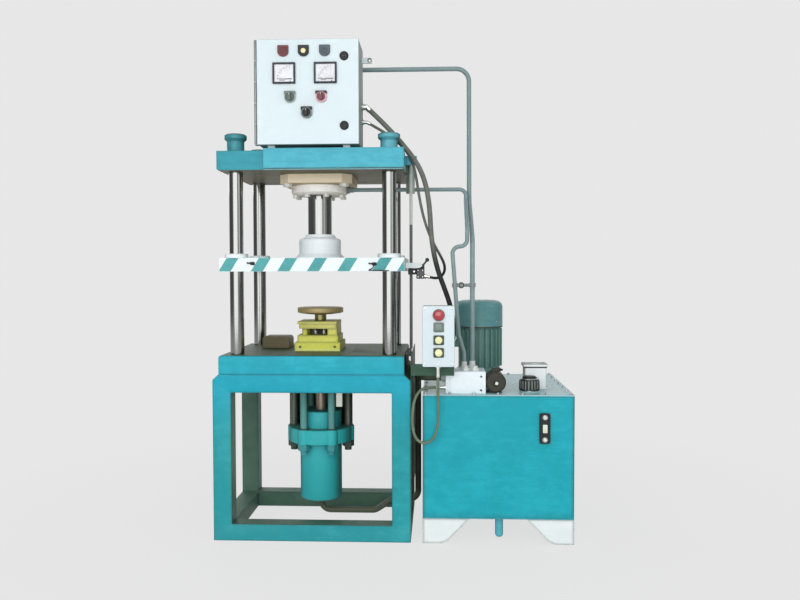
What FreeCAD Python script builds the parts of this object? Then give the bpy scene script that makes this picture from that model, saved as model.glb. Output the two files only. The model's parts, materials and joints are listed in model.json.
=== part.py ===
"""Four-column hydraulic press with its control panel and its oil power pack.

Millimetres. X runs to the right, Y runs away from the operator and Z runs up.
While the parts are made, X = 0 is the middle of the press, Y = 0 is the front
face of its base frame and Z = 0 is the floor. On export everything is shifted
so that the origin lies under the middle of the whole object's box.
"""
import FreeCAD, Part
import math
import os

V = FreeCAD.Vector

# ---------------------------------------------------------------- clearances
seat_gap = 0.3            # between a piece and the seat it is dropped into
running_gap = 0.05        # radial, between a shaft and its bore
swing_gap = 1.0           # between a moving piece and what it swings past

# ---------------------------------------------------------------- base frame
frame_width = 846.0
frame_depth = 600.0
frame_height = 716.0
leg_size = 80.0
lower_rail = 72.0
upper_rail = 79.0
shoulder_width = 27.0
shoulder_height = 25.0

guard_thickness = 3.0
guard_bottom = 150.0
arm_height = 44.0
arm_depth = 45.0
arm_thickness = 6.0
arm_tongue_width = 60.0
arm_tongue_height = 100.0

# ---------------------------------------------------------------- bed and columns
bed_thickness = 80.0
bed_edge_radius = 12.0
column_diameter = 60.0
column_inset_x = 66.0     # from a side of the bed to a column's middle
column_inset_y = 70.0
spigot_diameter = 48.0
spigot_depth = 60.0
daylight = 784.0
tooling_hole_diameter = 14.0
tooling_hole_depth = 30.0
tooling_spacing_x = 300.0
tooling_spacing_y = 300.0

# ---------------------------------------------------------------- crosshead
head_thickness = 82.0
head_corner = 6.0
neck_diameter = 50.0
nut_body_diameter = 80.0
nut_flange_diameter = 95.0
nut_body_height = 53.0
nut_flange_height = 25.0
nut_thread_reach = 60.0
face_plate_thickness = 12.0
face_plate_left = -195.0
face_plate_rise = 8.0
tab_reach = 50.0
tab_height = 40.0
tab_thickness = 10.0
tab_y = 172.0

# ---------------------------------------------------------------- main cylinder
main_bore = 160.0
barrel_diameter = 194.0
barrel_length = 500.0
cap_thickness = 62.0
flange_side = 320.0
flange_thickness = 39.0
flange_corner = 42.0
flange_bolt_spacing = 250.0
flange_bolt_diameter = 24.0
flange_bolt_grip = 36.0
flange_head_across = 36.0
flange_head_height = 15.0
gland_diameter = 256.0
gland_height = 44.0
gland_pilot = 30.0
gland_bolt_circle = 224.0
gland_bolt_diameter = 14.0
gland_bolt_grip = 26.0
gland_bolt_count = 8
gland_head_across = 22.0
gland_head_height = 13.0
rod_diameter = 110.0
piston_height = 80.0
piston_rest_height = 230.0
ring_groove = 7.0
stroke_down = 150.0
stroke_up = 150.0

# ---------------------------------------------------------------- moving platen
platen_rest_gap = 357.0
platen_thickness = 58.0
platen_depth = 540.0
hub_diameter = 190.0
hub_foot_diameter = 224.0
hub_height = 90.0
hub_crown_height = 19.0
rod_socket = 60.0
bush_diameter = 74.0
bush_flange_diameter = 100.0
bush_flange_height = 18.0
striker_reach = 72.0
striker_height = 23.0
striker_width = 20.0

# ---------------------------------------------------------------- ejector cylinder
ejector_diameter = 190.0
ejector_bore = 140.0
ejector_bottom = 114.0
ejector_floor = 26.0
ejector_flange_diameter = 290.0
ejector_flange_height = 66.0
ejector_flange_top = 445.0
ejector_head_rise = 75.0
ejector_boss_diameter = 56.0
ejector_rod_diameter = 50.0
ejector_piston_height = 50.0
ejector_travel = 60.0
ejector_recess = 6.0
stud_diameter = 32.0
stud_circle = 250.0
stud_count = 6
stud_nut_height = 28.0
stud_tail = 18.0

# ---------------------------------------------------------------- die set
die_base_width = 204.0
die_base_depth = 210.0
die_base_height = 40.0
die_shoe_width = 186.0
die_shoe_depth = 190.0
die_shoe_height = 30.0
die_post_diameter = 34.0
die_post_spacing = 118.0
die_gap = 30.0
die_upper_width = 170.0
die_upper_depth = 180.0
die_upper_height = 32.0
die_shank_diameter = 56.0
die_shank_height = 29.0
die_pad_diameter = 209.0
die_pad_height = 32.0
block_width = 128.0
block_depth = 110.0
block_height = 56.0
block_x = -212.0
block_y = 380.0

# ---------------------------------------------------------------- control panel
panel_width = 430.0
panel_height = 438.0
panel_barrel_gap = 13.0   # between the panel's back and the barrel
panel_wall = 2.5
panel_feet_height = 24.0
door_depth = 18.0
door_gap = 1.0
lip = 14.0
lug_reach = 44.0
lug_height = 24.0
lug_thickness = 8.0
lug_y = 146.0
lug_drop = 56.0
lug_hole_diameter = 12.0
lug_hole_inset = 10.0
hinge_radius = 5.5
hinge_pin_radius = 2.5
hinge_knuckles = 5
meter_side = 96.0
meter_frame = 9.0
meter_depth = 50.0
meter_proud = 8.0
meter_body_diameter = 84.0
meter_spacing = 174.0
meter_mid = -18.5
meter_drop = 142.0
meter_dial_depth = 6.0
needle_length = 56.0
lamp_width = 46.0
lamp_proud = 12.0
lamp_drop = 50.0
lamp_xs = (-109.0, -23.0, 66.0)
selector_diameter = 46.0
selector_proud = 10.0
selector_shaft = 8.0
selector_places = ((-81.0, 241.0), (51.0, 241.0), (-11.0, 306.0))
lock_diameter = 38.0
lock_barrel = 22.0
lock_x = 147.0
lock_drops = (73.0, 361.0)

# ---------------------------------------------------------------- gear inside the panel
gear_margin = 30.0
gear_plate_thickness = 3.0
gear_post_length = 9.0
gear_post_inset = 50.0
gear_post_diameter = 10.0
gear_left = 70.0
contactor_width = 56.0
contactor_pitch = 80.0
contactor_low = 120.0
contactor_height = 80.0
contactor_depth = 70.0
contactor_nose_depth = 14.0
contactor_nose_inset = 10.0
contactor_nose_margin = 18.0
breaker_width = 34.0
breaker_pitch = 36.0
breaker_low = 270.0
breaker_height = 80.0
breaker_depth = 62.0
terminal_inset = 60.0
terminal_low = 60.0
terminal_height = 24.0
terminal_depth = 38.0

# ---------------------------------------------------------------- steel pipes
pipe_diameter = 21.0
thin_pipe_diameter = 18.0
pipe_wall = 2.5
pipe_bend = 58.0
thin_pipe_bend = 30.0
ejector_pipe_diameter = 28.0
ejector_pipe_bend = 44.0
link_height = 364.0       # above the manifold's top
link_diameter = 14.0
link_knob_diameter = 27.0
link_knob_depth = 22.0
link_band_width = 18.0
link_band_wall = 4.0

# ---------------------------------------------------------------- limit switch
limit_rod_diameter = 14.0
limit_rod_offset = 22.0   # from the bed's side
limit_rod_forward = 60.0  # from the press's middle
hanger_height = 140.0
hanger_depth = 60.0
rod_foot_depth = 56.0
rod_foot_low = 62.0
rod_foot_high = 14.0
rod_foot_plate = 8.0
rod_post_diameter = 20.0
switch_width = 36.0
switch_height = 66.0
switch_depth = 30.0
switch_drop = 34.0
lever_length = 37.0
lever_thickness = 5.0
lever_swing = 20.0
roller_diameter = 18.0
roller_width = 12.0

# ---------------------------------------------------------------- push-button station
pendant_width = 132.0
pendant_height = 252.0
pendant_depth = 64.0
pendant_reach = 117.0     # from the frame's side to the station's middle
pendant_bottom = 758.0
pendant_back = -5.0
estop_diameter = 44.0
estop_drop = 38.0
button_side = 36.0
button_drops = (88.0, 141.0, 193.0)
button_travel = 4.0
estop_travel = 6.0
button_stem = 16.0
button_tail = 22.0
button_height = 7.0
estop_height = 16.0
bezel_height = 3.0
pendant_wall = 4.0

# ---------------------------------------------------------------- oil tank
tank_gap = 50.0
tank_width = 637.0
tank_depth = 700.0
tank_bottom = 106.0
tank_height = 522.0
tank_wall = 4.0
lid_thickness = 6.0
leg_sheet = 4.0
leg_foot = 78.0
leg_top = 197.0
gauge_width = 45.0
gauge_height = 128.0
gauge_thickness = 14.0
gauge_offset = 512.0      # all these from the tank's left side
gauge_bottom = 430.0
drain_offset = 327.0
drain_y = 60.0
drain_diameter = 34.0
filler_offset = 458.0
filler_y = 96.0
filler_diameter = 90.0
filler_height = 62.0
filler_neck_diameter = 60.0
filler_neck_height = 26.0
filter_width = 104.0
filter_depth = 100.0
filter_height = 106.0
filter_offset = 495.0
filter_y = 226.0

# ---------------------------------------------------------------- motor and pump
motor_offset = 255.0
motor_y = 380.0
motor_diameter = 220.0
motor_core_diameter = 188.0
motor_bore = 120.0
motor_height = 212.0
motor_flange_height = 12.0
terminal_box_width = 84.0
terminal_box_height = 96.0
terminal_box_reach = 54.0
fin_count = 24
fin_thickness = 5.0
cowl_height = 116.0
cowl_wall = 3.0
cowl_rim = 8.0
bell_height = 56.0
bell_diameter = 130.0
shaft_diameter = 28.0
rotor_diameter = 118.0
fan_diameter = 170.0
fan_hub_diameter = 60.0
blade_count = 6
pump_width = 100.0
pump_height = 110.0

# ---------------------------------------------------------------- valve manifold
manifold_offset = 117.0
manifold_y = 30.0
manifold_width = 150.0
manifold_depth = 140.0
manifold_height = 94.0
side_block_width = 19.0
coil_diameter = 86.0
coil_length = 112.0

# ---------------------------------------------------------------- cables
motor_cable_diameter = 22.0
switch_cable_diameter = 12.0
pendant_cable_diameter = 12.0
gland_nut_height = 7.0
motor_cable_exit = (36.0, 135.0, 164.0)       # from the panel's right side and its bottom
motor_cable_entry = (-122.0, -30.0, -54.0)    # from the motor's middle, the terminal box's front and top
switch_cable_exit = (35.0, 156.0, 109.0)
switch_cable_entry = (25.0, 0.0, 7.0)         # from the switch's right side, its middle and its bottom
pendant_cable_exit = (-2.0, 31.0, -46.0)      # from the station's middle, front and bottom
pendant_cable_entry = (-41.0, 18.0, 23.0)     # from the manifold's left side, its front and the lid

# ---------------------------------------------------------------- derived levels
bed_top = frame_height + bed_thickness
head_bottom = bed_top + daylight
head_top = head_bottom + head_thickness
bed_width = frame_width - 2 * shoulder_width
mid_y = frame_depth / 2
column_spacing_x = bed_width - 2 * column_inset_x
column_spacing_y = frame_depth - 2 * column_inset_y
platen_bottom = bed_top + platen_rest_gap
platen_top = platen_bottom + platen_thickness
hub_top = platen_top + hub_height + hub_crown_height
flange_bottom = head_bottom - flange_thickness
gland_bottom = flange_bottom - gland_height
barrel_top = flange_bottom + barrel_length
piston_bottom = flange_bottom + piston_rest_height
panel_bottom = head_top + panel_feet_height
panel_top = panel_bottom + panel_height
panel_left = -7.0 - panel_width / 2
panel_right = panel_left + panel_width
panel_depth = mid_y - barrel_diameter / 2 - panel_barrel_gap
pendant_x = frame_width / 2 + pendant_reach
limit_rod_x = bed_width / 2 + limit_rod_offset
limit_rod_y = mid_y - limit_rod_forward
tank_x = frame_width / 2 + tank_gap
gauge_x = tank_x + gauge_offset
drain_x = tank_x + drain_offset
filler_x = tank_x + filler_offset
filter_x = tank_x + filter_offset
motor_x = tank_x + motor_offset
manifold_x = tank_x + manifold_offset
tank_top = tank_bottom + tank_height
lid_top = tank_top + lid_thickness
tank_right = tank_x + tank_width
motor_bottom = lid_top + bell_height
cowl_bottom = motor_bottom + motor_height
terminal_box_top = cowl_bottom - 2.0
switch_left = limit_rod_x + 24.0
switch_right = switch_left + switch_width
switch_bottom = platen_bottom - switch_drop
pendant_front = pendant_back - pendant_depth
hinge_x = panel_left - hinge_radius - swing_gap
hinge_y = door_depth / 2
cap_port_z = barrel_top + cap_thickness / 2
gland_port_z = gland_bottom + 26.0
manifold_top = lid_top + manifold_height
COLUMN_PLACES = [(sx * column_spacing_x / 2, mid_y + sy * column_spacing_y / 2)
                 for sx in (-1, 1) for sy in (-1, 1)]


# ---------------------------------------------------------------- shape helpers
def block(xs, ys, zs):
    """A box between two X values, two Y values and two Z values."""
    corner = V(min(xs), min(ys), min(zs))
    return Part.makeBox(abs(xs[1] - xs[0]), abs(ys[1] - ys[0]), abs(zs[1] - zs[0]), corner)


def rod(diameter, start, end):
    """A round bar between two points."""
    start = V(*start)
    along = V(*end) - start
    return Part.makeCylinder(diameter / 2, along.Length, start, along)


def turned(profile, x, y, axis="z"):
    """A body turned from (radius, height) points, round a line through (x, y).

    For a vertical axis x and y place it and heights are Z. For axis "y" the
    line runs along Y through (x, z = y), and heights are Y.
    """
    if axis == "z":
        points = [V(x + r, y, h) for r, h in profile]
        line = (V(x, y, 0), V(0, 0, 1))
    elif axis == "y":
        points = [V(x + r, h, y) for r, h in profile]
        line = (V(x, 0, y), V(0, 1, 0))
    wire = Part.makePolygon(points + [points[0]])
    return Part.Face(wire).revolve(line[0], line[1], 360)


def prism(points, axis, low, high):
    """A straight prism of a polygon drawn in the plane square to an axis."""
    if axis == "x":
        corners = [V(low, a, b) for a, b in points]
        way = V(high - low, 0, 0)
    elif axis == "y":
        corners = [V(a, low, b) for a, b in points]
        way = V(0, high - low, 0)
    else:
        corners = [V(a, b, low) for a, b in points]
        way = V(0, 0, high - low)
    return Part.Face(Part.makePolygon(corners + [corners[0]])).extrude(way)


def hexagon(across, x, y, low, high):
    """A hexagon prism about a vertical line, as a bolt head or a nut."""
    radius = across / math.sqrt(3)
    corners = [(x + radius * math.cos(math.radians(60 * i)), y + radius * math.sin(math.radians(60 * i)))
               for i in range(6)]
    return prism(corners, "z", low, high)


def fused(shapes):
    """One solid from shapes that touch or overlap."""
    result = shapes[0].fuse(shapes[1:])
    return result.removeSplitter()


def rounded(shape, radius, wanted):
    """Round the edges that a test picks out."""
    edges = [edge for edge in shape.Edges if wanted(edge)]
    return shape.makeFillet(radius, edges)


def runs_along(edge, way):
    """True for a straight edge that runs along a direction."""
    if len(edge.Vertexes) != 2:
        return False
    line = edge.Vertexes[1].Point - edge.Vertexes[0].Point
    return line.Length > 0 and abs(line.normalize().dot(V(*way))) > 0.999


def route_wire(points, radii):
    """The centre line through a route's corners: straight runs joined by tangent arcs."""
    points = [V(*p) for p in points]
    edges = []
    start = points[0]
    for before, corner, after, radius in zip(points, points[1:], points[2:], radii):
        way_in = (corner - before).normalize()
        way_out = (after - corner).normalize()
        cut_back = radius * math.tan(way_in.getAngle(way_out) / 2)
        end = corner - way_in * cut_back
        edges.append(Part.makeLine(start, end))
        centre = end + way_in.cross(way_out).normalize().cross(way_in) * radius
        middle = centre + (corner - centre).normalize() * radius
        start = corner + way_out * cut_back
        edges.append(Part.Arc(end, middle, start).toShape())
    edges.append(Part.makeLine(start, points[-1]))
    return Part.Wire(edges)


def bent_bar(wire, diameter):
    """A round bar along a centre line, its volume compared with section times length."""
    first = wire.OrderedEdges[0]
    start = first.valueAt(first.FirstParameter)
    circle = Part.makeCircle(diameter / 2, start, first.tangentAt(first.FirstParameter))
    bar = wire.makePipeShell([Part.Wire(circle)], True, False)
    expected = math.pi * diameter ** 2 / 4 * wire.Length
    if abs(bar.Volume / expected - 1) > 0.001:
        raise ValueError("a bent bar has the wrong volume")
    return bar


def steel_pipe(points, diameter, bend):
    """A bent pipe with its bore, every bend of one radius."""
    wire = route_wire(points, [bend] * (len(points) - 2))
    return bent_bar(wire, diameter).cut(bent_bar(wire, diameter - 2 * pipe_wall))


def cable(name, points, diameter):
    """A free cable: each arc is as large as the two runs beside it allow."""
    vectors = [V(*p) for p in points]
    radii = []
    for before, corner, after in zip(vectors, vectors[1:], vectors[2:]):
        turn = (corner - before).getAngle(after - corner)
        shorter = min((corner - before).Length, (after - corner).Length)
        radii.append(0.45 * shorter / math.tan(turn / 2))
    wire = route_wire(points, radii)
    print(name, "length", round(wire.Length, 1), "least radius", round(min(radii), 1))
    return bent_bar(wire, diameter)


# ---------------------------------------------------------------- base and bed
def make_base_frame():
    """Welded box frame of square tube, its top corners sloped to the bed."""
    half = frame_width / 2
    slope = [(-half, 0), (half, 0), (half, frame_height - shoulder_height),
             (half - shoulder_width, frame_height), (shoulder_width - half, frame_height),
             (-half, frame_height - shoulder_height)]
    body = prism(slope, "y", 0, frame_depth)
    inner = half - leg_size
    near, far = leg_size, frame_depth - leg_size
    low, high = lower_rail, frame_height - upper_rail
    windows = [block((-inner, inner), (-1, frame_depth + 1), (low, high)),
               block((-half - 1, half + 1), (near, far), (low, high)),
               block((-inner, inner), (near, far), (-1, frame_height + 1))]
    return body.cut(windows)


def make_side_guard():
    """Sheet guard on the right side of the frame, with the station's arm."""
    left = frame_width / 2
    right = left + guard_thickness
    sheet = block((left, right), (0, frame_depth), (guard_bottom, bed_top))
    arm_right = pendant_x + pendant_width / 2
    arm_top = pendant_bottom
    leg_y = (pendant_back, pendant_back + arm_thickness)
    upright = block((right, arm_right), leg_y, (arm_top - arm_height, arm_top))
    shelf = block((right, arm_right), (pendant_back, arm_depth), (arm_top - arm_thickness, arm_top))
    tongue = block((pendant_x - arm_tongue_width / 2, pendant_x + arm_tongue_width / 2), leg_y,
                   (arm_top - 1, arm_top + arm_tongue_height))
    return fused([sheet, upright, shelf, tongue])


def stud_places():
    """Where the ejector cylinder's studs stand."""
    return [(stud_circle / 2 * math.cos(math.radians(360 / stud_count * i)),
             mid_y + stud_circle / 2 * math.sin(math.radians(360 / stud_count * i)))
            for i in range(stud_count)]


def tooling_places():
    """Where the tapped holes for tooling lie, on the bed and on the platen."""
    return [(sx * tooling_spacing_x / 2, mid_y + sy * tooling_spacing_y / 2)
            for sx in (-1, 1) for sy in (-1, 1)]


def make_bed_plate():
    """Thick bed with softened top edges, column sockets and tapped holes."""
    half = bed_width / 2
    plate = block((-half, half), (0, frame_depth), (frame_height, bed_top))
    plate = rounded(plate, bed_edge_radius, lambda edge: edge.BoundBox.ZMin > bed_top - 0.1)
    cuts = [rod(ejector_rod_diameter + 2 * swing_gap, (0, mid_y, frame_height - 1), (0, mid_y, bed_top + 1))]
    socket = spigot_diameter + 2 * seat_gap
    for x, y in COLUMN_PLACES:
        cuts.append(rod(socket, (x, y, bed_top - spigot_depth - seat_gap), (x, y, bed_top + 1)))
    for x, y in stud_places():
        cuts.append(rod(stud_diameter + 2 * seat_gap, (x, y, frame_height - 1),
                        (x, y, frame_height + stud_diameter)))
    for x, y in tooling_places():
        cuts.append(rod(tooling_hole_diameter, (x, y, bed_top - tooling_hole_depth), (x, y, bed_top + 1)))
    return plate.cut(cuts)


def make_columns():
    """Four ground columns with a spigot in the bed and a neck in the crosshead."""
    r_spigot = spigot_diameter / 2
    r_body = column_diameter / 2
    r_neck = neck_diameter / 2
    chamfer = 2.0
    profile = [(0, bed_top - spigot_depth), (r_spigot - chamfer, bed_top - spigot_depth),
               (r_spigot, bed_top - spigot_depth + chamfer), (r_spigot, bed_top),
               (r_body, bed_top), (r_body, head_bottom), (r_neck, head_bottom),
               (r_neck, head_top + nut_thread_reach - chamfer),
               (r_neck - chamfer, head_top + nut_thread_reach), (0, head_top + nut_thread_reach)]
    return Part.makeCompound([turned(profile, x, y) for x, y in COLUMN_PLACES])


def make_cap_nuts():
    """Round flanged nuts that cap the columns above the crosshead."""
    r_body = nut_body_diameter / 2
    r_flange = nut_flange_diameter / 2
    r_bore = neck_diameter / 2 + seat_gap
    under = head_top + nut_body_height
    top = under + nut_flange_height
    profile = [(r_bore, head_top), (r_body, head_top), (r_body - 3, head_top + 10), (r_body - 3, under - 6),
               (r_flange - 4, under), (r_flange, under + 4), (r_flange, top - 5), (r_flange - 8, top),
               (0, top), (0, head_top + nut_thread_reach + seat_gap),
               (r_bore, head_top + nut_thread_reach + seat_gap)]
    return Part.makeCompound([turned(profile, x, y) for x, y in COLUMN_PLACES])


# ---------------------------------------------------------------- crosshead
def flange_bolt_places():
    half = flange_bolt_spacing / 2
    return [(sx * half, mid_y + sy * half) for sx in (-1, 1) for sy in (-1, 1)]


def make_crosshead():
    """Top plate with the column and cylinder bores, a face plate and a cable tab."""
    half = bed_width / 2
    outline = [(-half, head_bottom + head_corner), (head_corner - half, head_bottom),
               (half - head_corner, head_bottom), (half, head_bottom + head_corner),
               (half, head_top), (-half, head_top)]
    plate = prism(outline, "y", 0, frame_depth)
    cuts = [rod(barrel_diameter + 2 * seat_gap, (0, mid_y, head_bottom - 1), (0, mid_y, head_top + 1))]
    for x, y in COLUMN_PLACES:
        cuts.append(rod(neck_diameter + 2 * seat_gap, (x, y, head_bottom - 1), (x, y, head_top + 1)))
    for x, y in flange_bolt_places():
        cuts.append(rod(flange_bolt_diameter + 2 * seat_gap, (x, y, head_bottom - 1),
                        (x, y, head_bottom + flange_bolt_grip + seat_gap)))
    plate = plate.cut(cuts)
    face = block((face_plate_left, half), (-face_plate_thickness, 0),
                 (head_bottom + head_corner, head_top + face_plate_rise))
    tab_top = head_top - 4
    tab = prism([(half, tab_top), (half + tab_reach, tab_top), (half + tab_reach, tab_top - tab_height + 14),
                 (half + tab_reach - 14, tab_top - tab_height), (half, tab_top - tab_height)],
                "y", tab_y, tab_y + tab_thickness)
    return fused([plate, face, tab])


# ---------------------------------------------------------------- main cylinder
def gland_bolt_places():
    radius = gland_bolt_circle / 2
    step = 360 / gland_bolt_count
    return [(radius * math.cos(math.radians(step * (i + 0.5))),
             mid_y + radius * math.sin(math.radians(step * (i + 0.5)))) for i in range(gland_bolt_count)]


def make_cylinder_barrel():
    """Honed barrel with its welded end cap and the upper port's boss."""
    r_out = barrel_diameter / 2
    r_bore = main_bore / 2
    top = barrel_top + cap_thickness
    profile = [(r_bore, flange_bottom), (r_out, flange_bottom), (r_out, barrel_top - 8),
               (r_out + 8, barrel_top), (r_out + 8, top - 6), (r_out + 2, top), (0, top),
               (0, barrel_top), (r_bore, barrel_top)]
    body = turned(profile, 0, mid_y)
    port_y = mid_y + 30
    boss = block((60, r_out + 20), (port_y - 22, port_y + 22), (cap_port_z - 20, cap_port_z + 20))
    drilled = rod(pipe_diameter - 2 * pipe_wall, (40, port_y, cap_port_z), (r_out + 21, port_y, cap_port_z))
    down = rod(pipe_diameter - 2 * pipe_wall, (42, port_y, barrel_top - 1), (42, port_y, cap_port_z))
    return fused([body, boss]).cut([drilled, down])


def make_cylinder_flange():
    """Square mounting block under the crosshead, its corners cut off."""
    half = flange_side / 2
    c = flange_corner
    outline = [(half, mid_y - half + c), (half, mid_y + half - c), (half - c, mid_y + half),
               (c - half, mid_y + half), (-half, mid_y + half - c), (-half, mid_y - half + c),
               (c - half, mid_y - half), (half - c, mid_y - half)]
    body = prism(outline, "z", flange_bottom, head_bottom)
    cuts = [rod(barrel_diameter + 2 * seat_gap, (0, mid_y, flange_bottom - 1), (0, mid_y, head_bottom + 1))]
    for x, y in flange_bolt_places():
        cuts.append(rod(flange_bolt_diameter + 2 * seat_gap, (x, y, flange_bottom - 1), (x, y, head_bottom + 1)))
    for x, y in gland_bolt_places():
        cuts.append(rod(gland_bolt_diameter + 2 * seat_gap, (x, y, flange_bottom - 1),
                        (x, y, flange_bottom + gland_bolt_grip + seat_gap)))
    return body.cut(cuts)


def bolt_up(x, y, seat, head_height, across, shank_diameter, shank_top):
    """A bolt with its head below a seat and its shank going up."""
    head = hexagon(across, x, y, seat - head_height, seat)
    shank = rod(shank_diameter, (x, y, seat), (x, y, shank_top))
    return fused([head, shank])


def make_cylinder_bolts():
    """Bolts of the mounting block and gland, and the ejector's studs and nuts."""
    solids = []
    for x, y in flange_bolt_places():
        solids.append(bolt_up(x, y, flange_bottom, flange_head_height, flange_head_across, flange_bolt_diameter,
                              head_bottom + flange_bolt_grip))
    for x, y in gland_bolt_places():
        solids.append(bolt_up(x, y, gland_bottom, gland_head_height, gland_head_across, gland_bolt_diameter,
                              flange_bottom + gland_bolt_grip))
    under = ejector_flange_top - ejector_flange_height
    for x, y in stud_places():
        low = under - stud_nut_height - stud_tail
        solids.append(rod(stud_diameter, (x, y, low), (x, y, frame_height + stud_diameter - seat_gap)))
        nut = hexagon(stud_diameter * 1.5, x, y, under - stud_nut_height, under)
        solids.append(nut.cut(rod(stud_diameter + 2 * running_gap, (x, y, low - 1), (x, y, under + 1))))
    return Part.makeCompound(solids)


def make_gland_flange():
    """Round gland that guides the ram, with a pilot inside the barrel."""
    r = gland_diameter / 2
    r_bore = rod_diameter / 2 + running_gap
    r_pilot = main_bore / 2 - running_gap
    profile = [(r_bore, gland_bottom + 3), (r_bore + 3, gland_bottom), (r - 14, gland_bottom),
               (r, gland_bottom + 9), (r, flange_bottom - 4), (r - 4, flange_bottom), (r_pilot, flange_bottom),
               (r_pilot, flange_bottom + gland_pilot), (r_bore, flange_bottom + gland_pilot)]
    body = turned(profile, 0, mid_y)
    flat = block((r - 5, r + 1), (mid_y - 40, mid_y + 40), (gland_bottom - 1, flange_bottom + 1))
    cuts = [flat]
    cuts.append(rod(thin_pipe_diameter - 2 * pipe_wall, (r_bore + 8, mid_y, gland_port_z), (r, mid_y, gland_port_z)))
    for x, y in gland_bolt_places():
        cuts.append(rod(gland_bolt_diameter + 2 * seat_gap, (x, y, gland_bottom - 1), (x, y, flange_bottom + 1)))
    return body.cut(cuts)


def make_main_ram():
    """Piston and rod turned from one bar, with two ring grooves."""
    r_rod = rod_diameter / 2
    r_piston = main_bore / 2 - running_gap
    foot = hub_top - rod_socket
    top = piston_bottom + piston_height
    deep = r_piston - 4
    profile = [(0, foot), (r_rod - 3, foot), (r_rod, foot + 3), (r_rod, piston_bottom), (r_piston, piston_bottom)]
    for i in range(2):
        low = piston_bottom + piston_height * (i + 1) / 3 - ring_groove / 2
        profile += [(r_piston, low), (deep, low), (deep, low + ring_groove), (r_piston, low + ring_groove)]
    profile += [(r_piston, top), (0, top)]
    return turned(profile, 0, mid_y)


def make_ram_hub():
    """Round hub on the platen that takes the ram's foot."""
    r = hub_diameter / 2
    r_foot = hub_foot_diameter / 2
    r_bore = rod_diameter / 2 + seat_gap
    shoulder = platen_top + hub_height
    profile = [(0, platen_top), (r_foot, platen_top), (r_foot, platen_top + 5), (r, platen_top + 22),
               (r, shoulder - 6), (r - 6, shoulder), (r - 22, shoulder + 4), (r - 30, hub_top),
               (r_bore, hub_top), (r_bore, hub_top - rod_socket), (0, hub_top - rod_socket)]
    return turned(profile, 0, mid_y)


def make_moving_platen():
    """Moving plate with the bush bores, tapped holes and the switch striker."""
    half = bed_width / 2
    near = (frame_depth - platen_depth) / 2
    plate = block((-half, half), (near, near + platen_depth), (platen_bottom, platen_top))
    cuts = [rod(bush_diameter, (x, y, platen_bottom - 1), (x, y, platen_top + 1)) for x, y in COLUMN_PLACES]
    for x, y in tooling_places():
        cuts.append(rod(tooling_hole_diameter, (x, y, platen_bottom - 1),
                        (x, y, platen_bottom + tooling_hole_depth)))
    striker_y = limit_rod_y - switch_depth / 2 - lever_thickness - striker_width - 3
    low = platen_bottom + 14
    tip = half + striker_reach
    striker = prism([(half, low), (tip - 12, low), (tip, low + 8), (tip, low + striker_height),
                     (half, low + striker_height)], "y", striker_y, striker_y + striker_width)
    return fused([plate.cut(cuts), striker])


def make_guide_bushes():
    """Flanged guide bushes that run on the columns."""
    r_in = column_diameter / 2 + running_gap
    r_out = bush_diameter / 2 - running_gap
    r_flange = bush_flange_diameter / 2
    top = platen_top + bush_flange_height
    profile = [(r_in, platen_bottom), (r_out, platen_bottom), (r_out, platen_top), (r_flange, platen_top),
               (r_flange, top - 4), (r_flange - 4, top), (r_in, top)]
    return Part.makeCompound([turned(profile, x, y) for x, y in COLUMN_PLACES])


# ---------------------------------------------------------------- ejector cylinder
def make_ejector_cylinder():
    """Ejector cylinder hung under the bed: closed barrel with a lobed stud flange."""
    r = ejector_diameter / 2
    r_flange = ejector_flange_diameter / 2
    r_bore = ejector_bore / 2
    r_rod = ejector_rod_diameter / 2 + running_gap
    under = ejector_flange_top - ejector_flange_height
    floor = ejector_bottom + ejector_floor
    head = ejector_flange_top + ejector_head_rise
    roof = head - 30
    profile = [(0, ejector_bottom), (r - 8, ejector_bottom), (r, ejector_bottom + 8), (r, under),
               (r_flange - 3, under), (r_flange, under + 3), (r_flange, ejector_flange_top - 3),
               (r_flange - 3, ejector_flange_top), (r, ejector_flange_top), (r, head - 5), (r - 5, head),
               (r_rod, head), (r_rod, roof), (r_bore, roof), (r_bore, floor), (0, floor)]
    bosses = [rod(ejector_boss_diameter, (x, y, under), (x, y, ejector_flange_top)) for x, y in stud_places()]
    body = fused([turned(profile, 0, mid_y)] + bosses)
    cuts = [rod(ejector_pipe_diameter - 2 * pipe_wall, (0, mid_y, ejector_bottom - 1), (0, mid_y, floor + 1))]
    for x, y in stud_places():
        cuts.append(rod(stud_diameter + 2 * seat_gap, (x, y, under - 20), (x, y, ejector_flange_top + 1)))
    return body.cut(cuts)


def make_ejector_ram():
    """Small piston and long push rod that ends just under the bed's face."""
    r_rod = ejector_rod_diameter / 2
    r_piston = ejector_bore / 2 - running_gap
    low = ejector_bottom + ejector_floor + 5
    high = low + ejector_piston_height
    tip = bed_top - ejector_recess
    profile = [(0, low), (r_piston - 2, low), (r_piston, low + 2), (r_piston, high), (r_rod, high),
               (r_rod, tip - 3), (r_rod - 3, tip), (0, tip)]
    return turned(profile, 0, mid_y)


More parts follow.
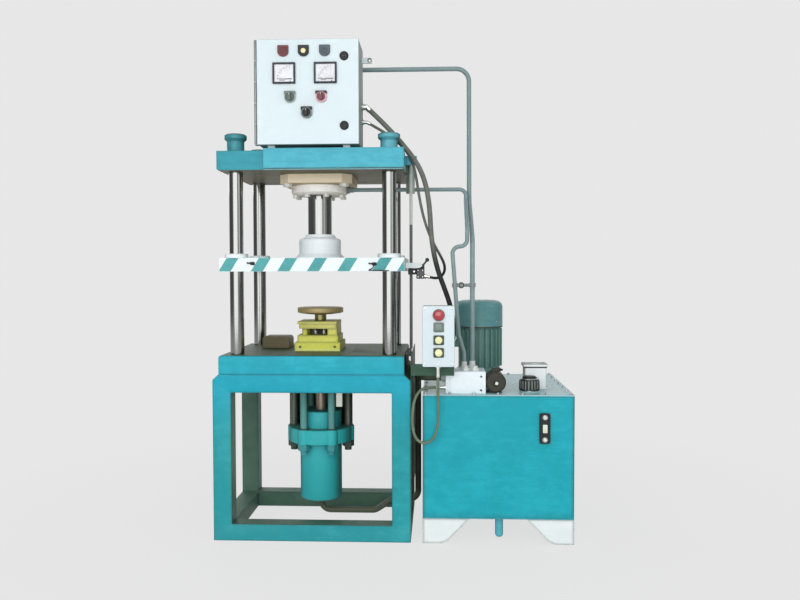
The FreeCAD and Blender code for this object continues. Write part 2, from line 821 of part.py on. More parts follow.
# ---------------------------------------------------------------- die set
def make_die_base():
    """Bolster and lower shoe in one casting, with two guide posts."""
    shoe_bottom = bed_top + die_base_height
    shoe_top = shoe_bottom + die_shoe_height
    bolster = block((-die_base_width / 2, die_base_width / 2),
                    (mid_y - die_base_depth / 2, mid_y + die_base_depth / 2), (bed_top, shoe_bottom))
    shoe = block((-die_shoe_width / 2, die_shoe_width / 2),
                 (mid_y - die_shoe_depth / 2, mid_y + die_shoe_depth / 2), (shoe_bottom, shoe_top))
    shoe = rounded(shoe, 12, lambda edge: runs_along(edge, (0, 0, 1)))
    body = fused([bolster, shoe])
    body = body.cut(rod(ejector_rod_diameter + 2 * swing_gap, (0, mid_y, bed_top - 1), (0, mid_y, shoe_top + 1)))
    posts = [rod(die_post_diameter, (sx * die_post_spacing / 2, mid_y, shoe_top - 1),
                 (sx * die_post_spacing / 2, mid_y, shoe_top + die_gap + die_upper_height - 4)) for sx in (-1, 1)]
    return fused([body] + posts)


def make_die_upper_shoe():
    """Upper shoe carried by the posts, with side cheeks that close the gap."""
    low = bed_top + die_base_height + die_shoe_height
    cheek_top = low + die_gap
    top = cheek_top + die_upper_height
    half = die_upper_width / 2
    near, far = mid_y - die_upper_depth / 2, mid_y + die_upper_depth / 2
    plate = block((-half, half), (near, far), (cheek_top, top))
    plate = rounded(plate, 8, lambda edge: runs_along(edge, (0, 0, 1)))
    ledge = block((-half - 7, half), (near - 4, far), (top - 11, top))
    right_cheek = block((half - 42, half), (near + 6, far), (low, cheek_top))
    left_cheek = block((-half, -half + 32), (mid_y + 20, far), (low, cheek_top))
    cuts = [rod(die_post_diameter + 2 * running_gap, (sx * die_post_spacing / 2, mid_y, low - 1),
                (sx * die_post_spacing / 2, mid_y, top - 3)) for sx in (-1, 1)]
    return fused([plate, ledge, right_cheek, left_cheek]).cut(cuts)


def make_die_pad():
    """Shank and round pad on top of the upper shoe."""
    low = bed_top + die_base_height + die_shoe_height + die_gap + die_upper_height
    neck_top = low + die_shank_height
    top = neck_top + die_pad_height
    r_neck = die_shank_diameter / 2
    r = die_pad_diameter / 2
    profile = [(0, low), (r_neck + 6, low), (r_neck + 6, low + 5), (r_neck, low + 9), (r_neck, neck_top),
               (r - 14, neck_top), (r - 3, neck_top + 7), (r, neck_top + 15), (r - 3, top - 6), (r - 12, top),
               (0, top)]
    return turned(profile, 0, mid_y)


def make_spacer_block():
    """Spacer block that stands on the bed beside the die set."""
    body = block((block_x - block_width / 2, block_x + block_width / 2),
                 (block_y - block_depth / 2, block_y + block_depth / 2), (bed_top, bed_top + block_height))
    top = bed_top + block_height
    return rounded(body, 16, lambda edge: runs_along(edge, (0, 1, 0)) and edge.BoundBox.ZMin > top - 1)


# ---------------------------------------------------------------- control panel
def lamp_outline(x, z, grow=0.0):
    """A shield: flat top and sides, round bottom, as points about a centre."""
    half = lamp_width / 2 + grow
    points = [(x - half, z + half), (x - half, z - 4)]
    for i in range(1, 8):
        angle = math.pi + math.pi * i / 8
        points.append((x + half * math.cos(angle), z - 4 + half * 0.85 * math.sin(angle)))
    return points + [(x + half, z - 4), (x + half, z + half)]


def make_panel_box():
    """Folded sheet box with an open front, feet, a lug and hinge knuckles."""
    back = panel_depth
    front = door_depth + door_gap
    outer = block((panel_left, panel_right), (front, back), (panel_bottom, panel_top))
    outer = rounded(outer, 6, lambda edge: runs_along(edge, (0, 1, 0)))
    w = panel_wall
    hollow = block((panel_left + w, panel_right - w), (front + w, back - w), (panel_bottom + w, panel_top - w))
    mouth = block((panel_left + lip, panel_right - lip), (front - 1, front + w + 1),
                  (panel_bottom + lip, panel_top - lip))
    glands = []
    for route, diameter in ((MOTOR_CABLE, motor_cable_diameter), (SWITCH_CABLE, switch_cable_diameter)):
        knee = gland_knee(route, diameter)
        glands.append(rod(diameter, (panel_right - 2 * w, knee.y, knee.z), (panel_right + 1, knee.y, knee.z)))
    shell = outer.cut([hollow, mouth] + glands)
    extras = []
    for x in (panel_left + 40, panel_right - 70):
        extras.append(block((x, x + 30), (front + 10, back - 6), (head_top, panel_bottom)))
    lug_z = panel_top - lug_drop
    hole_x = panel_right + lug_reach - lug_hole_inset
    lug = block((panel_right, panel_right + lug_reach), (lug_y, lug_y + lug_thickness),
                (lug_z - lug_height / 2, lug_z + lug_height / 2))
    lug = lug.cut(rod(lug_hole_diameter, (hole_x, lug_y - 1, lug_z), (hole_x, lug_y + lug_thickness + 1, lug_z)))
    extras.append(lug)
    step = panel_height / hinge_knuckles
    for i in range(0, hinge_knuckles, 2):
        low = panel_bottom + i * step + swing_gap / 2
        high = panel_bottom + (i + 1) * step - swing_gap / 2
        knuckle = rod(2 * hinge_radius, (hinge_x, hinge_y, low), (hinge_x, hinge_y, high))
        leaf = block((hinge_x - hinge_radius, hinge_x - hinge_radius + 3), (hinge_y, front + 22), (low, high))
        pad = block((hinge_x - hinge_radius, panel_left), (front + 2, front + 22), (low, high))
        extras.append(fused([knuckle, leaf, pad]))
    extras.append(rod(2 * hinge_pin_radius, (hinge_x, hinge_y, panel_bottom), (hinge_x, hinge_y, panel_top)))
    return fused([shell] + extras)


def panel_point(x, drop):
    """A place on the door, given across from the middle and down from the top."""
    return x, panel_top - drop


def make_panel_door():
    """Pan-shaped door with all its cut-outs, and every second hinge knuckle."""
    left, right = panel_left, panel_right
    low, high = panel_bottom, panel_top
    w = panel_wall
    pan = block((left, right), (0, door_depth), (low, high))
    pan = rounded(pan, 4, lambda edge: runs_along(edge, (0, 1, 0)) or edge.BoundBox.YMax < 0.1)
    hollow = block((left + w, right - w), (w, door_depth + 1), (low + w, high - w))
    cuts = [hollow]
    for side in (-1, 1):
        x, z = panel_point(meter_mid + side * meter_spacing / 2, meter_drop)
        cuts.append(rod(meter_body_diameter + 2 * seat_gap, (x, -1, z), (x, w + 1, z)))
    for x in lamp_xs:
        x, z = panel_point(x, lamp_drop)
        cuts.append(rod(22 + 2 * seat_gap, (x, -1, z), (x, w + 1, z)))
    for x, drop in selector_places:
        x, z = panel_point(x, drop)
        cuts.append(rod(selector_shaft + 2 * running_gap, (x, -1, z), (x, w + 1, z)))
    for drop in lock_drops:
        x, z = panel_point(lock_x, drop)
        cuts.append(rod(lock_barrel + 2 * running_gap, (x, -1, z), (x, w + 1, z)))
    door = pan.cut(cuts)
    extras = []
    for x, drop in selector_places:
        x, z = panel_point(x, drop)
        bezel = prism(lamp_outline(x, z), "y", -selector_proud, 0)
        extras.append(bezel.cut(rod(selector_shaft + 2 * running_gap, (x, -selector_proud - 1, z), (x, 1, z))))
    step = panel_height / hinge_knuckles
    for i in range(1, hinge_knuckles, 2):
        z0 = panel_bottom + i * step + swing_gap / 2
        z1 = panel_bottom + (i + 1) * step - swing_gap / 2
        knuckle = rod(2 * hinge_radius, (hinge_x, hinge_y, z0), (hinge_x, hinge_y, z1))
        web = block((hinge_x, left + 0.5), (hinge_y - 2, hinge_y + 2), (z0, z1))
        pin_hole = rod(2 * hinge_pin_radius + 2 * running_gap, (hinge_x, hinge_y, z0 - 1), (hinge_x, hinge_y, z1 + 1))
        extras.append(fused([knuckle, web]).cut(pin_hole))
    return fused([door] + extras)


def make_pilot_lamps():
    """Three pilot lamps: a shield-shaped lens on a round holder."""
    solids = []
    for x in lamp_xs:
        x, z = panel_point(x, lamp_drop)
        lens = prism(lamp_outline(x, z), "y", -lamp_proud, 0)
        lens = rounded(lens, 3, lambda edge: edge.BoundBox.YMax < 0.1 - lamp_proud)
        holder = rod(22, (x, 0, z), (x, 34, z))
        collar = rod(30, (x, panel_wall, z), (x, 10, z))
        solids.append(fused([lens, holder, collar]))
    return Part.makeCompound(solids)


def make_meters():
    """Two square panel meters with a sunk dial and a round rear case."""
    solids = []
    half = meter_side / 2
    for side in (-1, 1):
        x, z = panel_point(meter_mid + side * meter_spacing / 2, meter_drop)
        frame = block((x - half, x + half), (-meter_proud, 0), (z - half * 0.92, z + half * 0.92))
        inner = half - meter_frame
        dial = block((x - inner, x + inner), (-meter_proud - 1, meter_dial_depth - meter_proud),
                     (z - inner * 0.9, z + inner * 0.9))
        rear = rod(meter_body_diameter, (x, 0, z), (x, meter_depth, z))
        pivot_x, pivot_z = needle_pivot(side)
        hole = rod(3 + 2 * running_gap, (pivot_x, -meter_proud, pivot_z), (pivot_x, 6, pivot_z))
        solids.append(fused([frame, rear]).cut([dial, hole]))
    return Part.makeCompound(solids)


def needle_pivot(side):
    """The needle turns about a point low at the right of the dial."""
    x, z = panel_point(meter_mid + side * meter_spacing / 2, meter_drop)
    return x + 26, z - 24


def make_needle(side):
    """Thin tapered needle on its spindle, pointing left at rest."""
    x, z = needle_pivot(side)
    face = meter_dial_depth - meter_proud
    blade = prism([(x + 7, z - 2), (x - needle_length, z - 0.6), (x - needle_length, z + 0.6), (x + 7, z + 2)],
                  "y", face - 2.4, face - 1.2)
    spindle = rod(3, (x, face - 3.4, z), (x, 5, z))
    return fused([blade, spindle])


def make_selector(number):
    """Rotary switch: round boss with a raised grip and a shaft through the door."""
    x, z = panel_point(*selector_places[number])
    front = -selector_proud - 0.5
    boss = rod(34, (x, front - 6, z), (x, front, z))
    grip = prism([(x - 6, z - 16), (x + 6, z - 16), (x + 6, z + 12), (x, z + 17), (x - 6, z + 12)],
                 "y", front - 18, front - 6)
    shaft = rod(selector_shaft, (x, front, z), (x, 30, z))
    return fused([boss, grip, shaft])


def make_door_lock(number):
    """Quarter-turn lock: round head, barrel and the tongue behind the door."""
    x, z = panel_point(lock_x, lock_drops[number])
    head = turned([(0, -6), (lock_diameter / 2 - 3, -6), (lock_diameter / 2, -3), (lock_diameter / 2, -0.3),
                   (0, -0.3)], x, z, axis="y")
    slot = block((x - 9, x + 9), (-7, -3), (z - 2, z + 2))
    barrel = rod(lock_barrel, (x, -0.3, z), (x, 24, z))
    tongue = block((x - 8, x + 8), (24, 28), (z - 8, z + 42))
    return fused([head, barrel, tongue]).cut(slot)


def make_control_gear():
    """Mounting plate with three contactors, a breaker row and a terminal strip."""
    back = panel_depth - panel_wall
    face = back - gear_post_length - gear_plate_thickness + 0.5
    plate = block((panel_left + gear_margin, panel_right - gear_margin),
                  (back - gear_post_length - gear_plate_thickness, back - gear_post_length),
                  (panel_bottom + gear_margin, panel_top - gear_margin))
    posts = [rod(gear_post_diameter, (x, back - gear_post_length - 1, z), (x, back, z))
             for x in (panel_left + gear_post_inset, panel_right - gear_post_inset)
             for z in (panel_bottom + gear_post_inset, panel_top - gear_post_inset)]
    gear = []
    low, high = panel_bottom + contactor_low, panel_bottom + contactor_low + contactor_height
    for i in range(3):
        x = panel_left + gear_left + i * contactor_pitch
        base = block((x, x + contactor_width), (face - contactor_depth, face), (low, high))
        nose = block((x + contactor_nose_inset, x + contactor_width - contactor_nose_inset),
                     (face - contactor_depth - contactor_nose_depth, face - contactor_depth),
                     (low + contactor_nose_margin, high - contactor_nose_margin))
        gear.append(fused([base, nose]))
    for i in range(5):
        x = panel_left + gear_left + i * breaker_pitch
        gear.append(block((x, x + breaker_width), (face - breaker_depth, face),
                          (panel_bottom + breaker_low, panel_bottom + breaker_low + breaker_height)))
    gear.append(block((panel_left + terminal_inset, panel_right - terminal_inset), (face - terminal_depth, face),
                      (panel_bottom + terminal_low, panel_bottom + terminal_low + terminal_height)))
    return fused([plate] + posts + gear)


# ---------------------------------------------------------------- glands and fittings
def gland_knee(route, diameter):
    """Where a gland's body bends from its wall into line with its cable."""
    end, after = V(*route[0]), V(*route[1])
    along = (after - end).normalize()
    return end - along * (diameter / 2 + 10)


def cable_gland(diameter, route, axis, wall):
    """A gland on a flat wall: nut, stub, knee and a body in line with the cable.

    axis names the direction square to the wall, which lies at that value.
    """
    end = V(*route[0])
    knee = gland_knee(route, diameter)
    seat = V(knee)
    setattr(seat, axis, wall)
    facing = (knee - seat).normalize()
    nut = rod(diameter + 12, seat, seat + facing * gland_nut_height)
    bore = diameter - 4
    if facing.getAngle(end - knee) < 0.01:
        return fused([nut, rod(diameter + 4, seat, end)]).cut(rod(bore, seat - facing, end + facing))
    stub = rod(diameter + 4, seat, knee)
    ball = Part.makeSphere(diameter / 2 + 1.9, knee)
    body = rod(diameter + 4, knee, end)
    bored = [rod(bore, seat - facing, knee), rod(bore, knee, end + (end - knee))]
    return fused([nut, stub, ball, body]).cut(bored)


def make_cable_glands():
    """Glands of the panel, the motor's terminal box, the switch and the station."""
    manifold_left = manifold_x - side_block_width
    box_front = motor_y - terminal_box_width / 2
    places = ((motor_cable_diameter, MOTOR_CABLE, "x", panel_right),
              (motor_cable_diameter, MOTOR_CABLE[::-1], "y", box_front),
              (switch_cable_diameter, SWITCH_CABLE, "x", panel_right),
              (switch_cable_diameter, SWITCH_CABLE[::-1], "x", switch_right),
              (pendant_cable_diameter, PENDANT_CABLE, "z", pendant_bottom),
              (pendant_cable_diameter, PENDANT_CABLE[::-1], "x", manifold_left))
    return Part.makeCompound([cable_gland(*place) for place in places])


def fitting_between(start, end, diameter, bore):
    """A round fitting with a thicker hexagon-like collar at its seat."""
    start, end = V(*start), V(*end)
    along = end - start
    collar_end = start + along * 0.45
    body = fused([rod(diameter, tuple(start), tuple(end)), rod(diameter + 9, tuple(start), tuple(collar_end))])
    return body.cut(rod(bore, tuple(start - along * 0.1), tuple(end + along * 0.1)))


def point_on_leg(leg, z):
    """Where a straight leg of a pipe passes a height, and the way it runs."""
    low, high = V(*leg[1]), V(*leg[0])
    along = high - low
    return low + along * ((z - low.z) / along.z), along.normalize()


def make_pipe_link():
    """Bar with a round bleed knob that ties the thin pipe to the thick one."""
    z = manifold_top + link_height
    thin_leg, thick_leg = ROD_SIDE_PIPE[5:7], UPPER_PIPE[3:5]
    thin, thin_way = point_on_leg(thin_leg, z)
    thick, thick_way = point_on_leg(thick_leg, z)
    half = link_band_width / 2
    knob = thin + (thick - thin) * 0.36
    out = V(0, link_knob_depth / 2, 0)
    parts = [rod(link_diameter, thin, thick), rod(link_knob_diameter, knob - out, knob + out),
             rod(link_diameter, knob - out * 1.5, knob),
             rod(thin_pipe_diameter + 2 * link_band_wall, thin - thin_way * half, thin + thin_way * half),
             rod(pipe_diameter + 2 * link_band_wall, thick - thick_way * half, thick + thick_way * half)]
    return fused(parts).cut([rod(thin_pipe_diameter + 2 * running_gap, *thin_leg),
                             rod(pipe_diameter + 2 * running_gap, *thick_leg)])


def make_pipe_fittings():
    """Fittings at both ends of the pipes, the manifold's plugs and the pipe link."""
    solids = [make_pipe_link()]
    for start, end, diameter, bore in (
            (upper_port, UPPER_PIPE[0], pipe_diameter + 5, pipe_diameter - 2 * pipe_wall),
            (rod_port, ROD_SIDE_PIPE[0], thin_pipe_diameter + 5, thin_pipe_diameter - 2 * pipe_wall),
            (ejector_port, EJECTOR_PIPE[0], ejector_pipe_diameter + 6, ejector_pipe_diameter - 2 * pipe_wall),
            (ejector_pipe_seat, EJECTOR_PIPE[-1], ejector_pipe_diameter + 6, ejector_pipe_diameter - 2 * pipe_wall)):
        solids.append(fitting_between(start, end, diameter, bore))
    for pipe, diameter in ((UPPER_PIPE, pipe_diameter), (ROD_SIDE_PIPE, thin_pipe_diameter)):
        x, y, z = pipe[-1]
        solids.append(fitting_between((x, y, manifold_top), (x, y, z), diameter + 5, diameter - 2 * pipe_wall))
    for x in plug_xs:
        nut = hexagon(30, x, plug_y, manifold_top, manifold_top + 12)
        solids.append(fused([nut, rod(22, (x, plug_y, manifold_top + 12), (x, plug_y, manifold_top + 20))]))
    return Part.makeCompound(solids)


# ---------------------------------------------------------------- pipe routes
pipe_lane_y = 330.0
thin_lane_y = 300.0
pipe_front_y = 140.0
thin_front_y = 110.0
step_drop = 43.0
step_height = 190.0
pipe_end_offset = 98.0
thin_arch_offset = 13.0
thin_end_offset = 62.0
step_top = gland_port_z - step_drop
step_bottom = step_top - step_height
pipe_end_x = manifold_x + pipe_end_offset
pipe_drop_x = pipe_end_x - 9.0
thin_drop_x = pipe_end_x - 24.0
thin_arch_x = manifold_x + thin_arch_offset
thin_end_x = manifold_x + thin_end_offset
fitting_height = 34.0
plug_xs = (manifold_x + 66.0, manifold_x + 107.0)
plug_y = 66.0
ejector_lane_z = 72.0
ejector_dip_x = frame_width / 2 - leg_size - 93.0
ejector_rise_x = frame_width / 2 + tank_gap / 2
ejector_over_z = lid_top + 56.0
ejector_seat_inset = 100.0

upper_port = (barrel_diameter / 2 + 20, pipe_lane_y, cap_port_z)
UPPER_PIPE = [(upper_port[0] + 30, pipe_lane_y, cap_port_z),
              (pipe_drop_x, pipe_lane_y, cap_port_z),
              (pipe_drop_x + 2, pipe_lane_y, step_top),
              (pipe_end_x, pipe_front_y, step_bottom),
              (pipe_end_x, pipe_front_y, manifold_top + fitting_height)]

rod_port = (gland_diameter / 2 - 5, mid_y, gland_port_z)
ROD_SIDE_PIPE = [(rod_port[0] + 34, mid_y, gland_port_z),
                 (thin_drop_x + 4, thin_lane_y, gland_port_z),
                 (thin_drop_x, thin_lane_y, step_top - 4),
                 (thin_drop_x, thin_front_y, step_bottom + 40),
                 (thin_drop_x, thin_front_y, step_bottom - 28),
                 (thin_arch_x - 4, thin_front_y, step_bottom - 34),
                 (thin_end_x - 24, thin_front_y, manifold_top + 152),
                 (thin_end_x, thin_front_y, manifold_top + 72),
                 (thin_end_x, thin_front_y, manifold_top + fitting_height)]

ejector_port = (0.0, mid_y, ejector_bottom)
ejector_pipe_seat = (manifold_x - side_block_width, manifold_y + ejector_seat_inset, ejector_over_z)
EJECTOR_PIPE = [(0.0, mid_y, ejector_bottom - 10),
                (0.0, mid_y, ejector_lane_z - 20),
                (ejector_dip_x, mid_y, ejector_lane_z - 20),
                (ejector_dip_x + 80, mid_y, ejector_lane_z + 32),
                (ejector_rise_x, mid_y, ejector_lane_z + 32),
                (ejector_rise_x, mid_y, ejector_over_z),
                (ejector_rise_x, ejector_pipe_seat[1], ejector_over_z),
                (ejector_pipe_seat[0] - 20, ejector_pipe_seat[1], ejector_over_z)]


# ---------------------------------------------------------------- cable routes
def followed(points, start, end):
    """A cable's chosen points, each moved with the end that it hangs nearer to."""
    moves = V(*start) - V(*points[0]), V(*end) - V(*points[-1])
    last = len(points) - 1
    return [V(*p) + moves[0] * (1 - i / last) + moves[1] * (i / last) for i, p in enumerate(points)]


def beside(place, offset):
    """A point given by its offset from a place."""
    return tuple(V(*place) + V(*offset))


MOTOR_CABLE = followed([
    (244.0, 135.0, 1850.0), (287.0, 135.0, 1809.0), (336.0, 135.0, 1759.0), (384.0, 135.0, 1705.0),
    (431.0, 135.0, 1646.0), (465.0, 135.0, 1589.0), (486.0, 135.0, 1527.0), (498.0, 135.0, 1463.0),
    (504.0, 135.0, 1400.0), (507.0, 135.0, 1338.0), (513.0, 135.0, 1275.0), (524.0, 135.0, 1212.0),
    (540.0, 136.0, 1150.0), (561.0, 138.0, 1092.0), (582.0, 141.0, 1036.0), (597.0, 146.0, 983.0),
    (605.0, 156.0, 932.0), (606.0, 181.0, 890.0), (606.0, 218.0, 861.0), (606.0, 262.0, 846.0),
    (606.0, 308.0, 846.0)],
    beside((panel_right, 0, panel_bottom), motor_cable_exit),
    beside((motor_x, motor_y - terminal_box_width / 2, terminal_box_top), motor_cable_entry))

SWITCH_CABLE = followed([
    (243.0, 156.0, 1795.0), (292.0, 156.0, 1767.0), (343.0, 156.0, 1733.0), (391.0, 157.0, 1690.0),
    (427.0, 158.0, 1634.0), (443.0, 158.0, 1568.0), (453.0, 158.0, 1500.0), (465.0, 157.0, 1433.0),
    (481.0, 157.0, 1368.0), (503.0, 158.0, 1307.0), (530.0, 163.0, 1254.0), (553.0, 173.0, 1214.0),
    (567.0, 187.0, 1183.0), (569.0, 202.0, 1157.0), (560.0, 216.0, 1136.0), (543.0, 228.0, 1124.0),
    (523.0, 236.0, 1121.0), (503.0, 240.0, 1126.0)],
    beside((panel_right, 0, panel_bottom), switch_cable_exit),
    beside((switch_right, limit_rod_y, switch_bottom), switch_cable_entry))

PENDANT_CABLE = followed([
    (538.0, -38.0, 712.0), (538.0, -38.0, 662.0), (539.0, -38.0, 608.0), (539.0, -38.0, 556.0),
    (537.0, -38.0, 511.0), (529.0, -38.0, 476.0), (513.0, -38.0, 448.0), (486.0, -37.0, 434.0),
    (457.0, -35.0, 441.0), (439.0, -32.0, 466.0), (431.0, -27.0, 508.0), (431.0, -20.0, 556.0),
    (436.0, -9.0, 599.0), (448.0, 8.0, 632.0), (468.0, 28.0, 652.0), (496.0, 48.0, 657.0), (530.0, 48.0, 657.0)],
    beside((pendant_x, pendant_front, pendant_bottom), pendant_cable_exit),
    beside((manifold_x - side_block_width, manifold_y, lid_top), pendant_cable_entry))


# ---------------------------------------------------------------- limit switch
def make_limit_rod():
    """Upright rod beside the press with a bracket at each end."""
    r = limit_rod_diameter / 2
    half = bed_width / 2
    hanger_top = head_top - 22
    hanger_bottom = hanger_top - hanger_height
    bar = rod(limit_rod_diameter, (limit_rod_x, limit_rod_y, bed_top + 10), (limit_rod_x, limit_rod_y, hanger_top))
    web_y = (limit_rod_y + r - 1, limit_rod_y + r + 7)
    hanger = block((half, half + rod_foot_plate), (limit_rod_y - hanger_depth / 2, limit_rod_y + hanger_depth / 2),
                   (head_bottom + 8, hanger_top))
    web = prism([(half, hanger_bottom), (limit_rod_x + r + 10, hanger_bottom),
                 (limit_rod_x + r + 10, hanger_top), (half, hanger_top)], "y", *web_y)
    foot_plate = block((half, half + rod_foot_plate), (limit_rod_y - rod_foot_depth / 2, limit_rod_y + rod_foot_depth / 2),
                       (bed_top - rod_foot_low, bed_top - rod_foot_high))
    foot_shelf = block((half, frame_width / 2 - 2), (limit_rod_y - 20, limit_rod_y + 20),
                       (bed_top - 24, bed_top - 12))
    post_x = limit_rod_x - limit_rod_diameter / 2
    post = rod(rod_post_diameter, (post_x, limit_rod_y, bed_top - 20), (post_x, limit_rod_y, bed_top + 12))
    return fused([bar, hanger, web, foot_plate, foot_shelf, post])


def make_limit_switch():
    """Switch body on a split clamp that grips the rod."""
    front, back = limit_rod_y - switch_depth / 2, limit_rod_y + switch_depth / 2
    z = switch_bottom + switch_height / 2
    clamp = block((limit_rod_x - 13, switch_left), (limit_rod_y - 13, limit_rod_y + 13), (z - 14, z + 14))
    clamp = clamp.cut(rod(limit_rod_diameter + 2 * running_gap, (limit_rod_x, limit_rod_y, z - 20),
                          (limit_rod_x, limit_rod_y, z + 20)))
    body = block((switch_left, switch_right), (front, back), (switch_bottom, switch_bottom + switch_height))
    body = rounded(body, 4, lambda edge: runs_along(edge, (0, 1, 0)))
    x, hub_z = lever_pivot()
    hole = rod(6 + 2 * running_gap, (x, front - 1, hub_z), (x, front + 12, hub_z))
    return fused([clamp, body]).cut(hole)


def lever_pivot():
    """Where the roller lever turns, on the front of the switch."""
    return switch_right - 10, switch_bottom + switch_height - 11


def make_limit_lever():
    """Roller lever: hub with a shaft, a flat arm and the roller on its pin."""
    x, z = lever_pivot()
    face = limit_rod_y - switch_depth / 2
    hub_front = face - lever_thickness - 0.5
    hub = rod(14, (x, hub_front, z), (x, face - 0.5, z))
    shaft = rod(6, (x, face - 0.5, z), (x, face + 11, z))
    lean = math.radians(52)
    tip_x = x + lever_length * math.cos(lean)
    tip_z = z + lever_length * math.sin(lean)
    side_x, side_z = -4 * math.sin(lean), 4 * math.cos(lean)
    arm = prism([(x + side_x, z + side_z), (x - side_x, z - side_z), (tip_x - side_x, tip_z - side_z),
                 (tip_x + side_x, tip_z + side_z)], "y", hub_front, face - 0.5)
    roller = rod(roller_diameter, (tip_x, hub_front - roller_width, tip_z), (tip_x, hub_front, tip_z))
    pin = rod(8, (tip_x, hub_front - roller_width - 2, tip_z), (tip_x, face - 0.5, tip_z))
    return fused([hub, shaft, arm, roller, pin])


# ---------------------------------------------------------------- push-button station
def make_pendant_box():
    """Hollow moulded box, bored for its buttons, with a bezel round each."""
    left, right = pendant_x - pendant_width / 2, pendant_x + pendant_width / 2
    low, high = pendant_bottom, pendant_bottom + pendant_height
    wall = pendant_wall
    outer = block((left, right), (pendant_front, pendant_back), (low, high))
    outer = rounded(outer, 7, lambda edge: runs_along(edge, (0, 1, 0)))
    cuts = [block((left + wall, right - wall), (pendant_front + wall, pendant_back - wall),
                  (low + wall, high - wall))]
    bore = button_stem + 2 * running_gap
    for x, z in pendant_centres():
        cuts.append(rod(bore, (x, pendant_front - 1, z), (x, pendant_front + wall + 1, z)))
    x, y, z = PENDANT_CABLE[0]
    cuts.append(rod(pendant_cable_diameter - 4, (x, y, low - 1), (x, y, low + wall + 1)))
    bezels = []
    for x, z in pendant_centres()[1:]:
        ring = block((x - 22, x + 22), (pendant_front - bezel_height, pendant_front), (z - 20, z + 20))
        ring = rounded(ring, 6, lambda edge: runs_along(edge, (0, 1, 0)))
        half = button_side / 2 + swing_gap
        bezels.append(ring.cut(block((x - half, x + half), (pendant_front - bezel_height - 1, pendant_front),
                                     (z - half, z + half))))
    x, z = pendant_centres()[0]
    collar = rod(estop_diameter + 6, (x, pendant_front - bezel_height, z), (x, pendant_front, z))
    bezels.append(collar.cut(rod(bore, (x, pendant_front - bezel_height - 1, z), (x, pendant_front, z))))
    return fused([outer] + bezels).cut(cuts)


def pendant_centres():
    """The mushroom button first, then the three push buttons below it."""
    high = pendant_bottom + pendant_height
    return [(pendant_x + 1, high - drop) for drop in (estop_drop,) + button_drops]


def make_estop_button():
    """Mushroom push button with its stem inside the box."""
    x, z = pendant_centres()[0]
    r = estop_diameter / 2
    back = pendant_front - bezel_height - estop_travel - swing_gap
    front = back - estop_height
    tail = pendant_front + button_tail
    profile = [(0, front), (r * 0.5, front + 1), (r * 0.85, front + 4), (r, front + 9), (r - 2, back),
               (button_stem / 2, back), (button_stem / 2, tail), (0, tail)]
    return turned(profile, x, z, axis="y")


def make_push_button(number):
    """Square-capped push button on a round stem."""
    x, z = pendant_centres()[number + 1]
    half = button_side / 2
    back = pendant_front - button_travel - swing_gap
    cap = block((x - half, x + half), (back - button_height, back), (z - half, z + half))
    cap = rounded(cap, 3, lambda edge: runs_along(edge, (0, 1, 0)))
    stem = rod(button_stem, (x, back, z), (x, pendant_front + button_tail, z))
    return fused([cap, stem])


# ---------------------------------------------------------------- oil tank
def make_tank_body():
    """Welded tank, open at the top, with a drain pipe below."""
    outer = block((tank_x, tank_right), (0, tank_depth), (tank_bottom, tank_top))
    outer = rounded(outer, 5, lambda edge: runs_along(edge, (0, 0, 1)))
    w = tank_wall
    inner = block((tank_x + w, tank_right - w), (w, tank_depth - w), (tank_bottom + w, tank_top + 1))
    drain = turned([(0, 15), (drain_diameter / 2 - 6, 15), (drain_diameter / 2, 24),
                    (drain_diameter / 2, tank_bottom), (0, tank_bottom)], drain_x, drain_y)
    return fused([outer.cut(inner), drain])


def make_tank_lid():
    """Lid plate with the pump and filler holes and the filler's neck."""
    lid = block((tank_x, tank_right), (0, tank_depth), (tank_top, lid_top))
    lid = rounded(lid, 5, lambda edge: runs_along(edge, (0, 0, 1)))
    holes = [rod(150, (motor_x, motor_y, tank_top - 1), (motor_x, motor_y, lid_top + 1)),
             rod(filler_neck_diameter - 8, (filler_x, filler_y, tank_top - 1), (filler_x, filler_y, lid_top + 1)),
             rod(60, (filter_x, filter_y, tank_top - 1), (filter_x, filter_y, lid_top + 1))]
    r = filler_neck_diameter / 2
    top = lid_top + filler_neck_height
    neck = turned([(r - 4, lid_top), (r + 12, lid_top), (r + 12, lid_top + 5), (r, lid_top + 5),
                   (r, top), (r - 4, top)], filler_x, filler_y)
    return fused([lid.cut(holes), neck])


def make_tank_legs():
    """Two folded sheet legs whose inner sides slope up to the tank."""
    solids = []
    for x, way in ((tank_x, 1), (tank_right, -1)):
        outline = [(x, 0), (x + way * leg_foot, 0), (x + way * (leg_foot + 30), 14),
                   (x + way * leg_top, tank_bottom), (x, tank_bottom)]
        body = prism(outline, "y", 0, tank_depth)
        inner = block((x + way * leg_sheet, x + way * (leg_top + 1)), (leg_sheet, tank_depth - leg_sheet),
                      (leg_sheet, tank_bottom + 1))
        solids.append(body.cut(inner))
    return Part.makeCompound(solids)


def make_level_gauge():
    """Oval sight gauge with a window and two hollow bolts."""
    x0, x1 = gauge_x - gauge_width / 2, gauge_x + gauge_width / 2
    z0, z1 = gauge_bottom, gauge_bottom + gauge_height
    body = block((x0, x1), (-gauge_thickness, 0), (z0, z1))
    body = rounded(body, 9, lambda edge: runs_along(edge, (0, 1, 0)))
    window = block((gauge_x - 13, gauge_x + 13), (-gauge_thickness - 1, -gauge_thickness + 5),
                   (z0 + 44, z1 - 44))
    bolts = [rod(22, (gauge_x, -gauge_thickness - 5, z), (gauge_x, -gauge_thickness, z))
             for z in (z0 + 19, z1 - 19)]
    return fused([body.cut(window)] + bolts)


